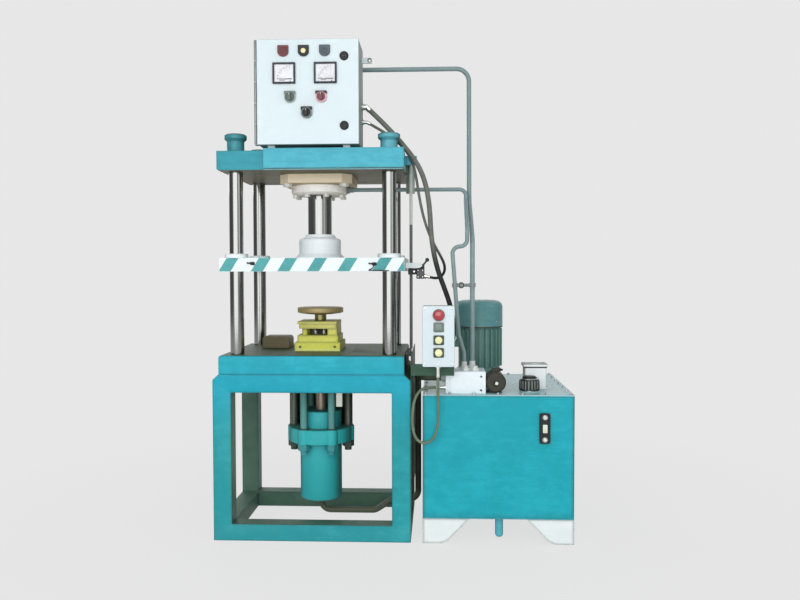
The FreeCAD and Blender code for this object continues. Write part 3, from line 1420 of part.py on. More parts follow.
def make_filler_cap():
    """Fluted filler cap that turns on the neck."""
    low = lid_top + 8
    top = low + filler_height
    r = filler_diameter / 2
    flutes = 20
    outline = []
    for i in range(flutes * 2):
        radius = r if i % 2 else r - 3.5
        angle = math.pi * i / flutes
        outline.append((filler_x + radius * math.cos(angle), filler_y + radius * math.sin(angle)))
    skirt = prism(outline, "z", low, top - 10)
    crown = turned([(0, top - 10), (r - 5, top - 10), (r - 5, top - 5), (r - 12, top), (0, top)],
                   filler_x, filler_y)
    recess = rod(filler_neck_diameter + 2 * seat_gap, (filler_x, filler_y, low - 1),
                 (filler_x, filler_y, lid_top + filler_neck_height + seat_gap))
    return fused([skirt, crown]).cut(recess)


def make_return_filter():
    """Return-line filter box on the lid, its cover held by four screws."""
    half_x, half_y = filter_width / 2, filter_depth / 2
    body = block((filter_x - half_x, filter_x + half_x), (filter_y - half_y, filter_y + half_y),
                 (lid_top, lid_top + filter_height - 12))
    body = rounded(body, 8, lambda edge: runs_along(edge, (0, 0, 1)))
    cover = block((filter_x - half_x - 3, filter_x + half_x + 3), (filter_y - half_y - 3, filter_y + half_y + 3),
                  (lid_top + filter_height - 12, lid_top + filter_height))
    cover = rounded(cover, 8, lambda edge: runs_along(edge, (0, 0, 1)))
    screws = [rod(10, (filter_x + sx * (half_x - 9), filter_y + sy * (half_y - 9), lid_top + filter_height),
                  (filter_x + sx * (half_x - 9), filter_y + sy * (half_y - 9), lid_top + filter_height + 4))
              for sx in (-1, 1) for sy in (-1, 1)]
    return fused([body, cover] + screws)


# ---------------------------------------------------------------- motor and pump
def make_bell_housing():
    """Bell housing between the lid and the motor, with four windows."""
    low, high = lid_top, motor_bottom
    r_flange = motor_diameter / 2 - 8
    r = bell_diameter / 2
    profile = [(r - 14, low), (r_flange, low), (r_flange, low + 12), (r + 4, low + 12), (r, low + 18),
               (r, high - 16), (r + 4, high - 10), (r_flange, high - 10), (r_flange, high), (r - 14, high)]
    body = turned(profile, motor_x, motor_y)
    zs = (low + 20, high - 18)
    windows = [block((motor_x - 18, motor_x + 18), (motor_y - r - 5, motor_y + r + 5), zs),
               block((motor_x - r - 5, motor_x + r + 5), (motor_y - 18, motor_y + 18), zs)]
    return body.cut(windows)


def make_pump():
    """Gear pump hung inside the tank from the lid's hole, with its suction pipe."""
    r = 70.0
    top = lid_top + 8
    half = pump_width / 2
    plate = turned([(shaft_diameter / 2 + running_gap, tank_top - 14), (r, tank_top - 14), (r, tank_top),
                    (r, lid_top), (bell_diameter / 2 - 14 - seat_gap, lid_top),
                    (bell_diameter / 2 - 14 - seat_gap, top), (shaft_diameter / 2 + running_gap, top)],
                   motor_x, motor_y)
    floor = tank_top - 14 - pump_height
    body = block((motor_x - half, motor_x + half), (motor_y - half * 0.8, motor_y + half * 0.8),
                 (floor, tank_top - 14))
    body = rounded(body, 16, lambda edge: runs_along(edge, (0, 0, 1)))
    body = body.cut(rod(shaft_diameter + 2 * running_gap, (motor_x, motor_y, tank_top - 60),
                        (motor_x, motor_y, tank_top)))
    suction = rod(34, (motor_x + 20, motor_y, tank_bottom + 60), (motor_x + 20, motor_y, floor))
    strainer = rod(76, (motor_x + 20, motor_y, tank_bottom + 20), (motor_x + 20, motor_y, tank_bottom + 90))
    return fused([plate, body, suction, strainer])


def make_motor_body():
    """Finned stator housing with its flange, end shields and terminal box."""
    low, high = motor_bottom, cowl_bottom
    r = motor_diameter / 2
    r_core = motor_core_diameter / 2
    r_fin = r - 2
    r_flange = r - 8
    r_rim = r - cowl_wall - seat_gap
    r_bore = motor_bore / 2
    r_shaft = shaft_diameter / 2 + running_gap
    core = turned([(r_shaft, low), (r_flange, low), (r_flange, low + motor_flange_height),
                   (r_core, low + motor_flange_height + 8), (r_core, high - 12), (r, high - 8), (r, high),
                   (r_rim, high), (r_rim, high + cowl_rim), (r_shaft, high + cowl_rim),
                   (r_shaft, high - 12), (r_bore, high - 12), (r_bore, low + 18), (r_shaft, low + 18)],
                  motor_x, motor_y)
    fins = []
    fin = block((r_core - 2, r_fin), (-fin_thickness / 2, fin_thickness / 2), (low + 26, high - 14))
    for i in range(fin_count):
        if abs(i - fin_count / 2) <= 2:
            continue
        one = fin.copy()
        one.rotate(V(0, 0, 0), V(0, 0, 1), 360 / fin_count * i)
        one.translate(V(motor_x, motor_y, 0))
        fins.append(one)
    half = terminal_box_width / 2
    box = block((motor_x - r_fin - terminal_box_reach, motor_x - r_core + 4), (motor_y - half, motor_y + half),
                (terminal_box_top - terminal_box_height, terminal_box_top))
    box = rounded(box, 6, lambda edge: runs_along(edge, (0, 1, 0)))
    return fused([core] + fins + [box])


def make_fan_cowl():
    """Domed sheet cowl over the fan, with a ring of slots in its crown."""
    low = cowl_bottom
    high = low + cowl_height
    r = motor_diameter / 2
    w = cowl_wall
    outer = turned([(0, low), (r, low), (r, high - 26), (r - 6, high - 12), (r - 18, high - 4),
                    (r - 34, high), (0, high)], motor_x, motor_y)
    inner = turned([(0, low - 1), (r - w, low - 1), (r - w, high - 27), (r - 8, high - 14), (r - 20, high - 7),
                    (r - 35, high - w), (0, high - w)], motor_x, motor_y)
    slots = []
    for i in range(8):
        slot = block((28, r - 44), (-4, 4), (high - w - 1, high + 1))
        slot.rotate(V(0, 0, 0), V(0, 0, 1), 45 * i)
        slot.translate(V(motor_x, motor_y, 0))
        slots.append(slot)
    return outer.cut(inner).cut(slots)


def make_motor_rotor():
    """Rotor core, long shaft, coupling and fan, which turn as one."""
    r = shaft_diameter / 2
    shaft_low = tank_top - 50
    shaft_high = cowl_bottom + cowl_height - 34
    coupling_low, coupling_high = lid_top + 12, motor_bottom - 4
    core_low, core_high = motor_bottom + 40, cowl_bottom - 34
    r_core = rotor_diameter / 2
    r_coupling = 36
    shaft = turned([(0, shaft_low), (r, shaft_low), (r, coupling_low), (r_coupling, coupling_low),
                    (r_coupling, coupling_high), (r, coupling_high), (r, core_low), (r_core, core_low),
                    (r_core, core_high), (r, core_high), (r, shaft_high), (0, shaft_high)], motor_x, motor_y)
    hub_low, hub_high = cowl_bottom + 26, cowl_bottom + 64
    hub = rod(fan_hub_diameter, (motor_x, motor_y, hub_low), (motor_x, motor_y, hub_high))
    blades = []
    for i in range(blade_count):
        blade = block((24, fan_diameter / 2), (-2, 2), (hub_low, hub_high))
        blade.rotate(V(0, 0, 0), V(0, 0, 1), 360 / blade_count * i)
        blade.translate(V(motor_x, motor_y, 0))
        blades.append(blade)
    return fused([shaft, hub] + blades)


# ---------------------------------------------------------------- valve manifold
def make_manifold():
    """Valve block with chamfered edges, bores for its ports and a side block."""
    x0, x1 = manifold_x, manifold_x + manifold_width
    y0, y1 = manifold_y, manifold_y + manifold_depth
    body = block((x0, x1), (y0, y1), (lid_top, manifold_top))
    body = body.makeChamfer(3, [edge for edge in body.Edges if edge.BoundBox.ZMin > lid_top + 1])
    side = block((x0 - side_block_width, x0), (y0 + 4, y1 - 8), (lid_top, manifold_top - 8))
    cuts = []
    for pipe, diameter in ((UPPER_PIPE, pipe_diameter), (ROD_SIDE_PIPE, thin_pipe_diameter)):
        x, y, _ = pipe[-1]
        cuts.append(rod(diameter - 2 * pipe_wall, (x, y, manifold_top - 40), (x, y, manifold_top + 1)))
    x, y, z = ejector_pipe_seat
    cuts.append(rod(ejector_pipe_diameter - 2 * pipe_wall, (x - 1, y, z), (x + 60, y, z)))
    return fused([body, side]).cut(cuts)


def make_solenoid_valve():
    """Valve body on the block's side with its round coil facing the front."""
    x0 = manifold_x + manifold_width
    r = coil_diameter / 2
    x = x0 + r + swing_gap
    z = lid_top + r + 3
    y0 = manifold_y + 8
    y1 = y0 + coil_length
    coil = turned([(0, y0), (r - 5, y0), (r, y0 + 5), (r, y1 - 5), (r - 5, y1), (0, y1)], x, z, axis="y")
    nut = turned([(0, y0 - 12), (6, y0 - 12), (11, y0 - 8), (11, y0), (0, y0)], x, z - 4, axis="y")
    body = block((x0, x), (y0 + 26, y1 - 16), (z - 26, z + 26))
    foot = block((x - 26, x + 26), (y0 + 20, y1 - 20), (lid_top, z - r + 10))
    return fused([coil, nut, body, foot])


# ---------------------------------------------------------------- export
def make_nodes():
    """Every node by its name, in the order in which the press is put together."""
    return {
        "base_frame": make_base_frame(),
        "side_guard": make_side_guard(),
        "bed_plate": make_bed_plate(),
        "columns": make_columns(),
        "cap_nuts": make_cap_nuts(),
        "crosshead": make_crosshead(),
        "cylinder_barrel": make_cylinder_barrel(),
        "cylinder_flange": make_cylinder_flange(),
        "cylinder_bolts": make_cylinder_bolts(),
        "gland_flange": make_gland_flange(),
        "main_ram": make_main_ram(),
        "ram_hub": make_ram_hub(),
        "moving_platen": make_moving_platen(),
        "guide_bushes": make_guide_bushes(),
        "ejector_cylinder": make_ejector_cylinder(),
        "ejector_ram": make_ejector_ram(),
        "die_base": make_die_base(),
        "die_upper_shoe": make_die_upper_shoe(),
        "die_pad": make_die_pad(),
        "spacer_block": make_spacer_block(),
        "panel_box": make_panel_box(),
        "panel_door": make_panel_door(),
        "pilot_lamps": make_pilot_lamps(),
        "panel_meters": make_meters(),
        "needle_left": make_needle(-1),
        "needle_right": make_needle(1),
        "selector_left": make_selector(0),
        "selector_right": make_selector(1),
        "selector_lower": make_selector(2),
        "door_lock_upper": make_door_lock(0),
        "door_lock_lower": make_door_lock(1),
        "control_gear": make_control_gear(),
        "cable_glands": make_cable_glands(),
        "upper_pipe": steel_pipe(UPPER_PIPE, pipe_diameter, pipe_bend),
        "rod_side_pipe": steel_pipe(ROD_SIDE_PIPE, thin_pipe_diameter, thin_pipe_bend),
        "ejector_pipe": steel_pipe(EJECTOR_PIPE, ejector_pipe_diameter, ejector_pipe_bend),
        "pipe_fittings": make_pipe_fittings(),
        "limit_rod": make_limit_rod(),
        "limit_switch": make_limit_switch(),
        "limit_lever": make_limit_lever(),
        "pendant_box": make_pendant_box(),
        "estop_button": make_estop_button(),
        "push_button_upper": make_push_button(0),
        "push_button_middle": make_push_button(1),
        "push_button_lower": make_push_button(2),
        "tank_body": make_tank_body(),
        "tank_lid": make_tank_lid(),
        "tank_legs": make_tank_legs(),
        "level_gauge": make_level_gauge(),
        "filler_cap": make_filler_cap(),
        "return_filter": make_return_filter(),
        "bell_housing": Part.makeCompound([make_bell_housing(), make_pump()]),
        "motor_body": make_motor_body(),
        "fan_cowl": make_fan_cowl(),
        "motor_rotor": make_motor_rotor(),
        "valve_manifold": make_manifold(),
        "solenoid_valve": make_solenoid_valve(),
        "motor_cable": cable("motor_cable", MOTOR_CABLE, motor_cable_diameter),
        "switch_cable": cable("switch_cable", SWITCH_CABLE, switch_cable_diameter),
        "pendant_cable": cable("pendant_cable", PENDANT_CABLE, pendant_cable_diameter),
    }


CORD_NODES = ("motor_cable", "switch_cable", "pendant_cable")


def object_shift(nodes):
    """The move that puts the origin under the middle of the object's box."""
    box = FreeCAD.BoundBox()
    for name, shape in nodes.items():
        if name not in CORD_NODES:
            box.add(shape.optimalBoundingBox(False))
    return V(-box.Center.x, -box.Center.y, -box.ZMin)


NODES = make_nodes()
SHIFT = object_shift(NODES)
os.makedirs("parts", exist_ok=True)
for node_name, node_shape in NODES.items():
    placed = node_shape.copy()
    placed.translate(SHIFT)
    placed.exportStep("parts/" + node_name + ".step")
print(len(NODES), "nodes, shift", SHIFT)
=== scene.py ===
"""Looks of a four-column hydraulic press, laid out as an add-on.

Each Operator dresses one piece, or one group of like pieces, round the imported
solids. Shapes are drawn in press millimetres: X = 0 is the middle of the
press, Y = 0 the front face of its base frame and Z = 0 the floor.
"""
import json
import math
import random

import bmesh
import bpy
from mathutils import Matrix, Vector

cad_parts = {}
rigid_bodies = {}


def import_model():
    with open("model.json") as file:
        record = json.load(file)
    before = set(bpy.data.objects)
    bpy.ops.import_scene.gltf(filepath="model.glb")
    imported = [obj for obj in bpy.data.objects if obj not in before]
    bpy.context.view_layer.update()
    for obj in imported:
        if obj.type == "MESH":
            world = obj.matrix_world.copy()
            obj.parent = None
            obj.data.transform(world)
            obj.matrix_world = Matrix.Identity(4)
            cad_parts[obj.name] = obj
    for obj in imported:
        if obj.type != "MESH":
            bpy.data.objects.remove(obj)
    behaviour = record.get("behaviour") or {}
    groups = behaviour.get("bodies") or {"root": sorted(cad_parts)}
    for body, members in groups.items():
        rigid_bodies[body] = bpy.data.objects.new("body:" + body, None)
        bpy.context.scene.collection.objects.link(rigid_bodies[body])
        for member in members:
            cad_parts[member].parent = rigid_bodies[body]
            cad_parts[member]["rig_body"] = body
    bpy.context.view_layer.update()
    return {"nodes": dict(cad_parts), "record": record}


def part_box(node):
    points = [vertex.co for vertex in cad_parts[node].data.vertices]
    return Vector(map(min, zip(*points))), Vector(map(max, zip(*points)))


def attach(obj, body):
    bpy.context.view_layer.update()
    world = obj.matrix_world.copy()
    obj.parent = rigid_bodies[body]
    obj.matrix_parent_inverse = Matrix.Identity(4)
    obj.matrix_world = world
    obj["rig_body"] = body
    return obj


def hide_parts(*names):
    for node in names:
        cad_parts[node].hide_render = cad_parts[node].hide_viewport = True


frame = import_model()

bl_info = {
    "name": "Hydraulic Press",
    "version": (1, 0, 0),
    "blender": (4, 5, 0),
    "location": "View3D > Sidebar > Press",
    "description": "Finishes and fine pieces of a four-column hydraulic press",
    "category": "Object",
}

FRAME_LOW, FRAME_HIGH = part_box("base_frame")
ORIGIN = Vector(((FRAME_LOW.x + FRAME_HIGH.x) / 2, FRAME_LOW.y, 0.0))
MM = 0.001
PLACE = Matrix.Translation(ORIGIN) @ Matrix.Scale(MM, 4)


def node_box(node):
    """A node's lowest and highest corner in press millimetres."""
    low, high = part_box(node)
    return (low - ORIGIN) / MM, (high - ORIGIN) / MM


def middle_of(node):
    """The middle of a node's box in press millimetres."""
    low, high = node_box(node)
    return (low + high) / 2


def slot_of(node):
    """The record's material slot of a node."""
    return next(part["material_slot"] for part in frame["record"]["subparts"] if part["node"] == node)


def body_of(node):
    """The body that a node rides on."""
    return frame["nodes"][node]["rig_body"]


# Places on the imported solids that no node's box gives, in press millimetres.
LEG_WIDTH = 80.0
SILL_TOP = 72.0
HEAD_DEPTH = 79.0
LID_TOP = 634.0
TANK_FOOT = 106.0
BELL_TOP = 690.0
MOTOR_FLANGE = 12.0
COWL_LOW = 902.0
TERMINAL_TOP = 908.0
TERMINAL_HEIGHT = 96.0
TERMINAL_HALF = 42.0
STUD_MIDDLE = (0.0, 300.0)
STUD_CIRCLE = 125.0
STATION_FRONT = -69.0
METER_WIDTH = 96.0
METER_PIVOT = (26.0, -24.0)
HINGE_LINE = (-228.5, 9.0, 0.0)
LUG_HOLE = (242.0, 146.0, 2068.0)
LINK_KNOB = (639.1, 109.6, 1092.0)

UPWARD = (0, 0, 1)
FORWARD = (0, -1, 0)


# ---------------------------------------------------------------- drawing shapes
def arc_at(here, before, after, radius, steps=4):
    """Points round a corner, from one of its sides to the other."""
    before, after = before - here, after - here
    reach = min(radius, before.length * 0.49, after.length * 0.49)
    start, end = here + before.normalized() * reach, here + after.normalized() * reach
    shares = [k / steps for k in range(steps + 1)]
    return [start * (1 - t) ** 2 + here * 2 * t * (1 - t) + end * t ** 2 for t in shares]


def softened(points, radius, closed=True, steps=4):
    """An outline with its corners rounded by arcs of at most this radius."""
    made = []
    count = len(points)
    for i, corner in enumerate(points):
        here = Vector(corner)
        if not closed and i in (0, count - 1):
            made.append(tuple(here))
            continue
        arc = arc_at(here, Vector(points[i - 1]), Vector(points[(i + 1) % count]), radius, steps)
        made += [tuple(point) for point in arc]
    return made


def rectangle(left, low, right, high, radius=0.0, steps=4):
    """The outline of a rectangle, its corners rounded where a radius is given."""
    corners = [(left, low), (right, low), (right, high), (left, high)]
    return softened(corners, radius, steps=steps) if radius else corners


def softened_path(points, radius):
    """A path in space with its corners rounded, to carry a tube."""
    made = []
    for i, corner in enumerate(points):
        here = Vector(corner)
        if i in (0, len(points) - 1):
            made.append(here)
            continue
        made += arc_at(here, Vector(points[i - 1]), Vector(points[i + 1]), radius)
    return made


def around(radius, count, centre=(0.0, 0.0), start=0.0, sweep=math.tau):
    """Points evenly round a circle, or round part of one."""
    whole = abs(sweep - math.tau) < 1e-6
    steps = count if whole else count - 1
    return [(centre[0] + radius * math.cos(start + sweep * i / steps),
             centre[1] + radius * math.sin(start + sweep * i / steps)) for i in range(count)]


def in_space(a, b, h, axis):
    """A point given across an axis (a, b) and along it (h)."""
    if axis == "x":
        return Vector((h, a, b))
    if axis == "y":
        return Vector((a, h, b))
    return Vector((a, b, h))


class Shape:
    """A mesh in press millimetres, put together from simple forms in given finishes."""

    def __init__(self):
        self.mesh = bmesh.new()
        self.finishes = []

    def face(self, corners, finish):
        if finish not in self.finishes:
            self.finishes.append(finish)
        made = self.mesh.faces.new(corners)
        made.material_index = self.finishes.index(finish)
        return made

    def rows(self, rows, finish, closed_row=True, closed_rows=False):
        """A skin over rows of points, which may shrink to a single point."""
        grid = [[self.mesh.verts.new(p) for p in row] for row in rows]
        pairs = list(zip(grid, grid[1:]))
        if closed_rows:
            pairs.append((grid[-1], grid[0]))
        for low, high in pairs:
            count = max(len(low), len(high))
            last = count if closed_row else count - 1
            for i in range(last):
                j = (i + 1) % count
                corners = []
                for row, k in ((low, i), (low, j), (high, j), (high, i)):
                    vert = row[k] if len(row) > 1 else row[0]
                    if vert not in corners:
                        corners.append(vert)
                if len(corners) > 2:
                    self.face(corners, finish)
        return grid

    def close(self, grid, finish):
        """Faces over both ends of a skin."""
        self.face(grid[0][::-1], finish)
        self.face(grid[-1], finish)

    def layers(self, outlines, finish):
        """A skin over outlines in X and Z, each given with its Y."""
        return self.rows([[Vector((a, y, b)) for a, b in outline] for outline, y in outlines], finish)

    def lathe(self, profile, centre, finish, axis="z", segments=48):
        """A turned form: profile is (radius, height) pairs about a centre on an axis."""
        centre = Vector(centre)
        rows = []
        for radius, height in profile:
            if radius < 1e-6:
                rows.append([centre + in_space(0, 0, height, axis)])
            else:
                rows.append([centre + in_space(a, b, height, axis) for a, b in around(radius, segments)])
        self.rows(rows, finish)
        return self

    def prism(self, outline, axis, low, high, finish):
        """An outline across an axis, drawn out along it and closed at both ends."""
        ends = [[self.mesh.verts.new(in_space(a, b, h, axis)) for a, b in outline] for h in (low, high)]
        for i in range(len(outline)):
            j = (i + 1) % len(outline)
            self.face([ends[0][i], ends[0][j], ends[1][j], ends[1][i]], finish)
        for end in ends:
            self.face(end, finish)
        return self

    def block(self, low, high, finish, radius=0.0, axis="z"):
        """A block between two corners, its edges along one axis rounded."""
        a, b, h = {"x": (1, 2, 0), "y": (0, 2, 1), "z": (0, 1, 2)}[axis]
        return self.prism(rectangle(low[a], low[b], high[a], high[b], radius), axis, low[h], high[h], finish)

    def tube(self, path, radii, finish, segments=12):
        """A round skin along a path: one radius for each point, carried without twist."""
        path = [Vector(p) for p in path]
        along = (path[1] - path[0]).normalized()
        side = along.orthogonal().normalized()
        rows = []
        for i, point in enumerate(path):
            before = path[max(i - 1, 0)]
            after = path[min(i + 1, len(path) - 1)]
            along = (after - before).normalized()
            side = (side - along * side.dot(along)).normalized()
            up = along.cross(side)
            rows.append([point + (side * math.cos(t) + up * math.sin(t)) * radii[i]
                         for t in (math.tau * k / segments for k in range(segments))])
        self.close(self.rows(rows, finish), finish)
        return self

    def bead(self, start, end, size, finish, seed):
        """A hand-laid weld bead along a line: a low rippled ridge."""
        start, end = Vector(start), Vector(end)
        length = (end - start).length
        count = max(6, int(length / 4.0))
        draw = random.Random(seed)
        path = [start.lerp(end, i / count) for i in range(count + 1)]
        radii = [size * (0.86 + 0.2 * (i % 2) + 0.12 * draw.random()) for i in range(count + 1)]
        radii[0] = radii[-1] = size * 0.5
        return self.tube(path, radii, finish, segments=8)

    def piece(self, name, body, slot, replaces=(), bevel=0.0, angle=32.0):
        """The finished object in its place, riding on a body."""
        bmesh.ops.recalc_face_normals(self.mesh, faces=self.mesh.faces)
        data = bpy.data.meshes.new(name)
        self.mesh.to_mesh(data)
        self.mesh.free()
        data.transform(PLACE)
        return dressed(name, data, self.finishes, body, replaces, bevel, angle)


def dressed(name, data, finishes, body, replaces=(), bevel=0.0, angle=32.0):
    """An object from a finished mesh: smoothed, bevelled, given its finishes and its body."""
    data.shade_smooth()
    data.set_sharp_from_angle(angle=math.radians(angle))
    for name_of_finish in finishes:
        data.materials.append(bpy.data.materials[name_of_finish])
    thing = bpy.data.objects.new(name, data)
    bpy.context.scene.collection.objects.link(thing)
    if bevel:
        rounding = thing.modifiers.new("edges", "BEVEL")
        rounding.width = bevel * MM
        rounding.segments = 2
        rounding.limit_method = "ANGLE"
        rounding.angle_limit = math.radians(angle)
        rounding.harden_normals = True
        rounding.miter_outer = "MITER_ARC"
    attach(thing, body)
    if replaces:
        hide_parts(*replaces)
    return thing


def rounded_copy(node, bevel):
    """A solid's own form with merged faces and rounded edges, in place of its node."""
    mesh = bmesh.new()
    mesh.from_mesh(frame["nodes"][node].data)
    bmesh.ops.remove_doubles(mesh, verts=mesh.verts, dist=2e-6)
    bmesh.ops.dissolve_degenerate(mesh, edges=mesh.edges, dist=1e-6)
    bmesh.ops.dissolve_limit(mesh, angle_limit=math.radians(1.0), verts=mesh.verts, edges=mesh.edges)
    bmesh.ops.recalc_face_normals(mesh, faces=mesh.faces)
    for face in mesh.faces:
        face.material_index = 0
    data = bpy.data.meshes.new(node + "_rounded")
    mesh.to_mesh(data)
    mesh.free()
    data.materials.clear()
    dressed(node + "_rounded", data, [NODE_FINISHES[node]], body_of(node), (node,), bevel)


def evaluated(carrier):
    """The plain mesh that an object shows with its modifiers. The object itself is removed."""
    bpy.context.scene.collection.objects.link(carrier)
    mesh = bpy.data.meshes.new_from_object(carrier.evaluated_get(bpy.context.evaluated_depsgraph_get()))
    bpy.data.objects.remove(carrier)
    return mesh


# ---------------------------------------------------------------- node trees for finishes
def linear(colour):
    """A colour as it is seen on a screen, turned into light."""
    return tuple(c / 12.92 if c <= 0.04045 else ((c + 0.055) / 1.055) ** 2.4 for c in colour) + (1.0,)


def lighter(colour, share):
    """A colour moved towards white, or towards black where share is below 0."""
    goal = 1.0 if share > 0 else 0.0
    return tuple(c + (goal - c) * abs(share) for c in colour)


def toned(colour, share):
    """A colour made lighter, or darker where share is below 0, and turned into light."""
    return linear(lighter(colour, share))


class Nodes:
    """A node tree under construction, with short ways to add and join nodes."""

    def __init__(self, tree):
        self.tree = tree
        tree.nodes.clear()

    def add(self, kind, given=None, **settings):
        """A node with its settings, its sockets fed with values or with other sockets."""
        made = self.tree.nodes.new(kind)
        for key, value in settings.items():
            setattr(made, key, value)
        for socket, value in (given or {}).items():
            self.put(made.inputs[socket], value)
        return made

    def join(self, source, target):
        self.tree.links.new(source, target)

    def put(self, socket, value):
        if isinstance(value, bpy.types.NodeSocket):
            self.join(value, socket)
        else:
            socket.default_value = value

    def maths(self, kind, a, b):
        return self.add("ShaderNodeMath", {0: a, 1: b}, operation=kind).outputs[0]


class Finish(Nodes):
    """A material under construction: its shader, its place and what varies over it."""

    def __init__(self, name):
        self.material = bpy.data.materials.new(name)
        self.material.use_nodes = True
        super().__init__(self.material.node_tree)
        self.out = self.node("OutputMaterial")
        self.shader = self.node("BsdfPrincipled")
        self.join(self.shader.outputs[0], self.out.inputs[0])
        self.place = self.node("TexCoord").outputs["Object"]

    def node(self, kind, given=None, **settings):
        return self.add("ShaderNode" + kind, given, **settings)

    def parts(self, vector):
        return self.node("SeparateXYZ", {0: vector}).outputs

    def stretched(self, scale, turn=(0.0, 0.0, 0.0)):
        return self.node("Mapping", {"Vector": self.place, "Scale": scale, "Rotation": turn}).outputs[0]

    def noise(self, scale, detail=3.0, place=None, rough=0.55):
        given = {"Vector": place or self.place, "Scale": scale, "Detail": detail, "Roughness": rough}
        return self.node("TexNoise", given).outputs[0]

    def ramp(self, value, low, high, to_low=0.0, to_high=1.0):
        given = dict(enumerate((value, low, high, to_low, to_high)))
        return self.node("MapRange", given, interpolation_type="SMOOTHSTEP").outputs[0]

    def mix(self, share, a, b):
        return self.node("Mix", {0: share, 6: a, 7: b}, data_type="RGBA").outputs[2]

    def bump(self, height, strength, distance):
        made = self.node("Bump", {"Height": height, "Strength": strength, "Distance": distance})
        self.join(made.outputs[0], self.shader.inputs["Normal"])

    def set(self, **values):
        for key, value in values.items():
            self.put(self.shader.inputs[key.replace("_", " ")], value)


# ---------------------------------------------------------------- the finishes
def enamel(name, colour, shade=None, rough=0.34, streaks=0.5, wear_and_edge_light=0.35, peel=0.12, grime=0.25, front=None,
           under=False, fades=(), rim=0.0):
    """Brushed machine enamel: uneven coats, faint streaks, orange peel, and edges worn lighter that also paint a
    highlight along them.

    shade is a painted shade: the darker tone painted on faces that don't look to the front and, with front given, on
    whatever lies more than a hand behind that plane. With under set it is painted only on the faces that look down.
    Each of fades is an axis, where another colour starts, where it is full, and that colour; some fades paint light
    or shade, as noted where they are given. rim is how much a band along the edges is darkened.
    """
    made = Finish(name)
    cloud = made.noise(2.3, 5.0, rough=0.62)
    brush = made.ramp(made.noise(13.0, 6.0, made.stretched((1.0, 1.0, 1.6)), 0.68), 0.3, 0.7, -0.5, 0.5)
    streak = made.noise(7.0, 4.0, made.stretched((1.0, 1.0, 6.0), (0.0, 0.25, 0.0)))
    fine = made.noise(70.0, 2.0)
    tone = made.maths("ADD", made.maths("MULTIPLY", cloud, 0.6), made.maths("MULTIPLY", streak, 0.4 * streaks))
    tone = made.maths("ADD", tone, made.maths("MULTIPLY", brush, 0.16))
    swing = 0.07 if min(colour) < 0.6 else 0.03
    light = toned(colour, swing)
    deep = toned(colour, -swing)
    patchy = made.ramp(tone, 0.32, 0.62)
    coat = made.mix(patchy, deep, light)
    spot = made.parts(made.place)
    for axis, start, full, other in fades:
        home = getattr(ORIGIN, axis.lower())
        coat = made.mix(made.ramp(spot[axis], home + start * MM, home + full * MM), coat,
                        made.mix(patchy, toned(other, -swing), toned(other, swing)))
    # Painted shade: faces turned from the front, or looking down, or lying further back get a darker tone.
    if shade:
        facing = made.parts(made.node("TexCoord").outputs["Normal"])
        shade_mask = made.ramp(facing["Z"], -0.25, -0.75) if under else made.ramp(facing["Y"], -0.75, -0.25)
        if front is not None:
            shade_mask = made.maths("MAXIMUM", shade_mask, made.ramp(spot["Y"], front + 0.04, front + 0.10))
        painted_shade = made.mix(made.ramp(cloud, 0.35, 0.65), toned(shade, -0.10), toned(shade, 0.10))
        coat = made.mix(shade_mask, coat, painted_shade)
    if grime:
        dust = made.ramp(made.noise(5.5, 6.0), 0.56, 0.82, 0.0, grime * 0.7)
        coat = made.mix(dust, coat, toned(colour, -0.35))
    if rim:
        coat = made.mix(made.maths("MULTIPLY", edge_band(made, 0.014), rim), coat, linear((0.16, 0.27, 0.24)))
    # Edge wear, lighter at chips along the edges; it also stands in for a painted highlight along the edges.
    if wear_and_edge_light:
        corner = edge_band(made, 0.0022)
        chips = made.ramp(made.noise(55.0, 4.0), 0.48, 0.62)
        worn_and_lit_edges = made.maths("MULTIPLY", made.maths("MULTIPLY", corner, chips), wear_and_edge_light)
        coat = made.mix(worn_and_lit_edges, coat, toned(colour, 0.55))
    gloss = made.ramp(fine, 0.2, 0.8, rough - 0.06, rough + 0.08)
    if shade:
        gloss = made.maths("ADD", gloss, made.maths("MULTIPLY", shade_mask, 0.22))
    made.set(Base_Color=coat, Roughness=gloss, Specular_IOR_Level=0.28, Coat_Weight=0.03, Coat_Roughness=0.12)
    pores = made.maths("MULTIPLY", made.noise(420.0, 2.0), 0.5)
    height = made.maths("ADD", pores, made.maths("MULTIPLY", streak, 0.8))
    made.bump(height, peel, 0.0006)


def edge_band(made, radius):
    """How far a rounded normal leaves the face's own: 1 at an edge, 0 on a flat."""
    rounded = made.node("Bevel", {"Radius": radius}, samples=4)
    flat = made.node("NewGeometry").outputs["Normal"]
    away = made.node("VectorMath", {0: rounded.outputs[0], 1: flat}, operation="DOT_PRODUCT")
    return made.ramp(away.outputs["Value"], 0.995, 0.90)


def ground_metal(name, colour, rough, along=(1.0, 1.0, 1.0), grain=0.08, stain=0.12, metallic=1.0):
    """Ground, turned or plated steel: fine grain along the work and a few stains."""
    made = Finish(name)
    lines = made.noise(160.0, 3.0, made.stretched(along))
    patch = made.noise(7.0, 4.0)
    spots = made.ramp(patch, 0.55, 0.75, 0.0, stain)
    tone = made.mix(lines, toned(colour, -0.08), toned(colour, 0.08))
    tone = made.mix(spots, tone, toned(colour, -0.5))
    made.set(Base_Color=tone, Roughness=made.ramp(lines, 0.2, 0.8, rough * 0.8, rough * 1.25), Metallic=metallic)
    made.bump(lines, grain, 0.0003)


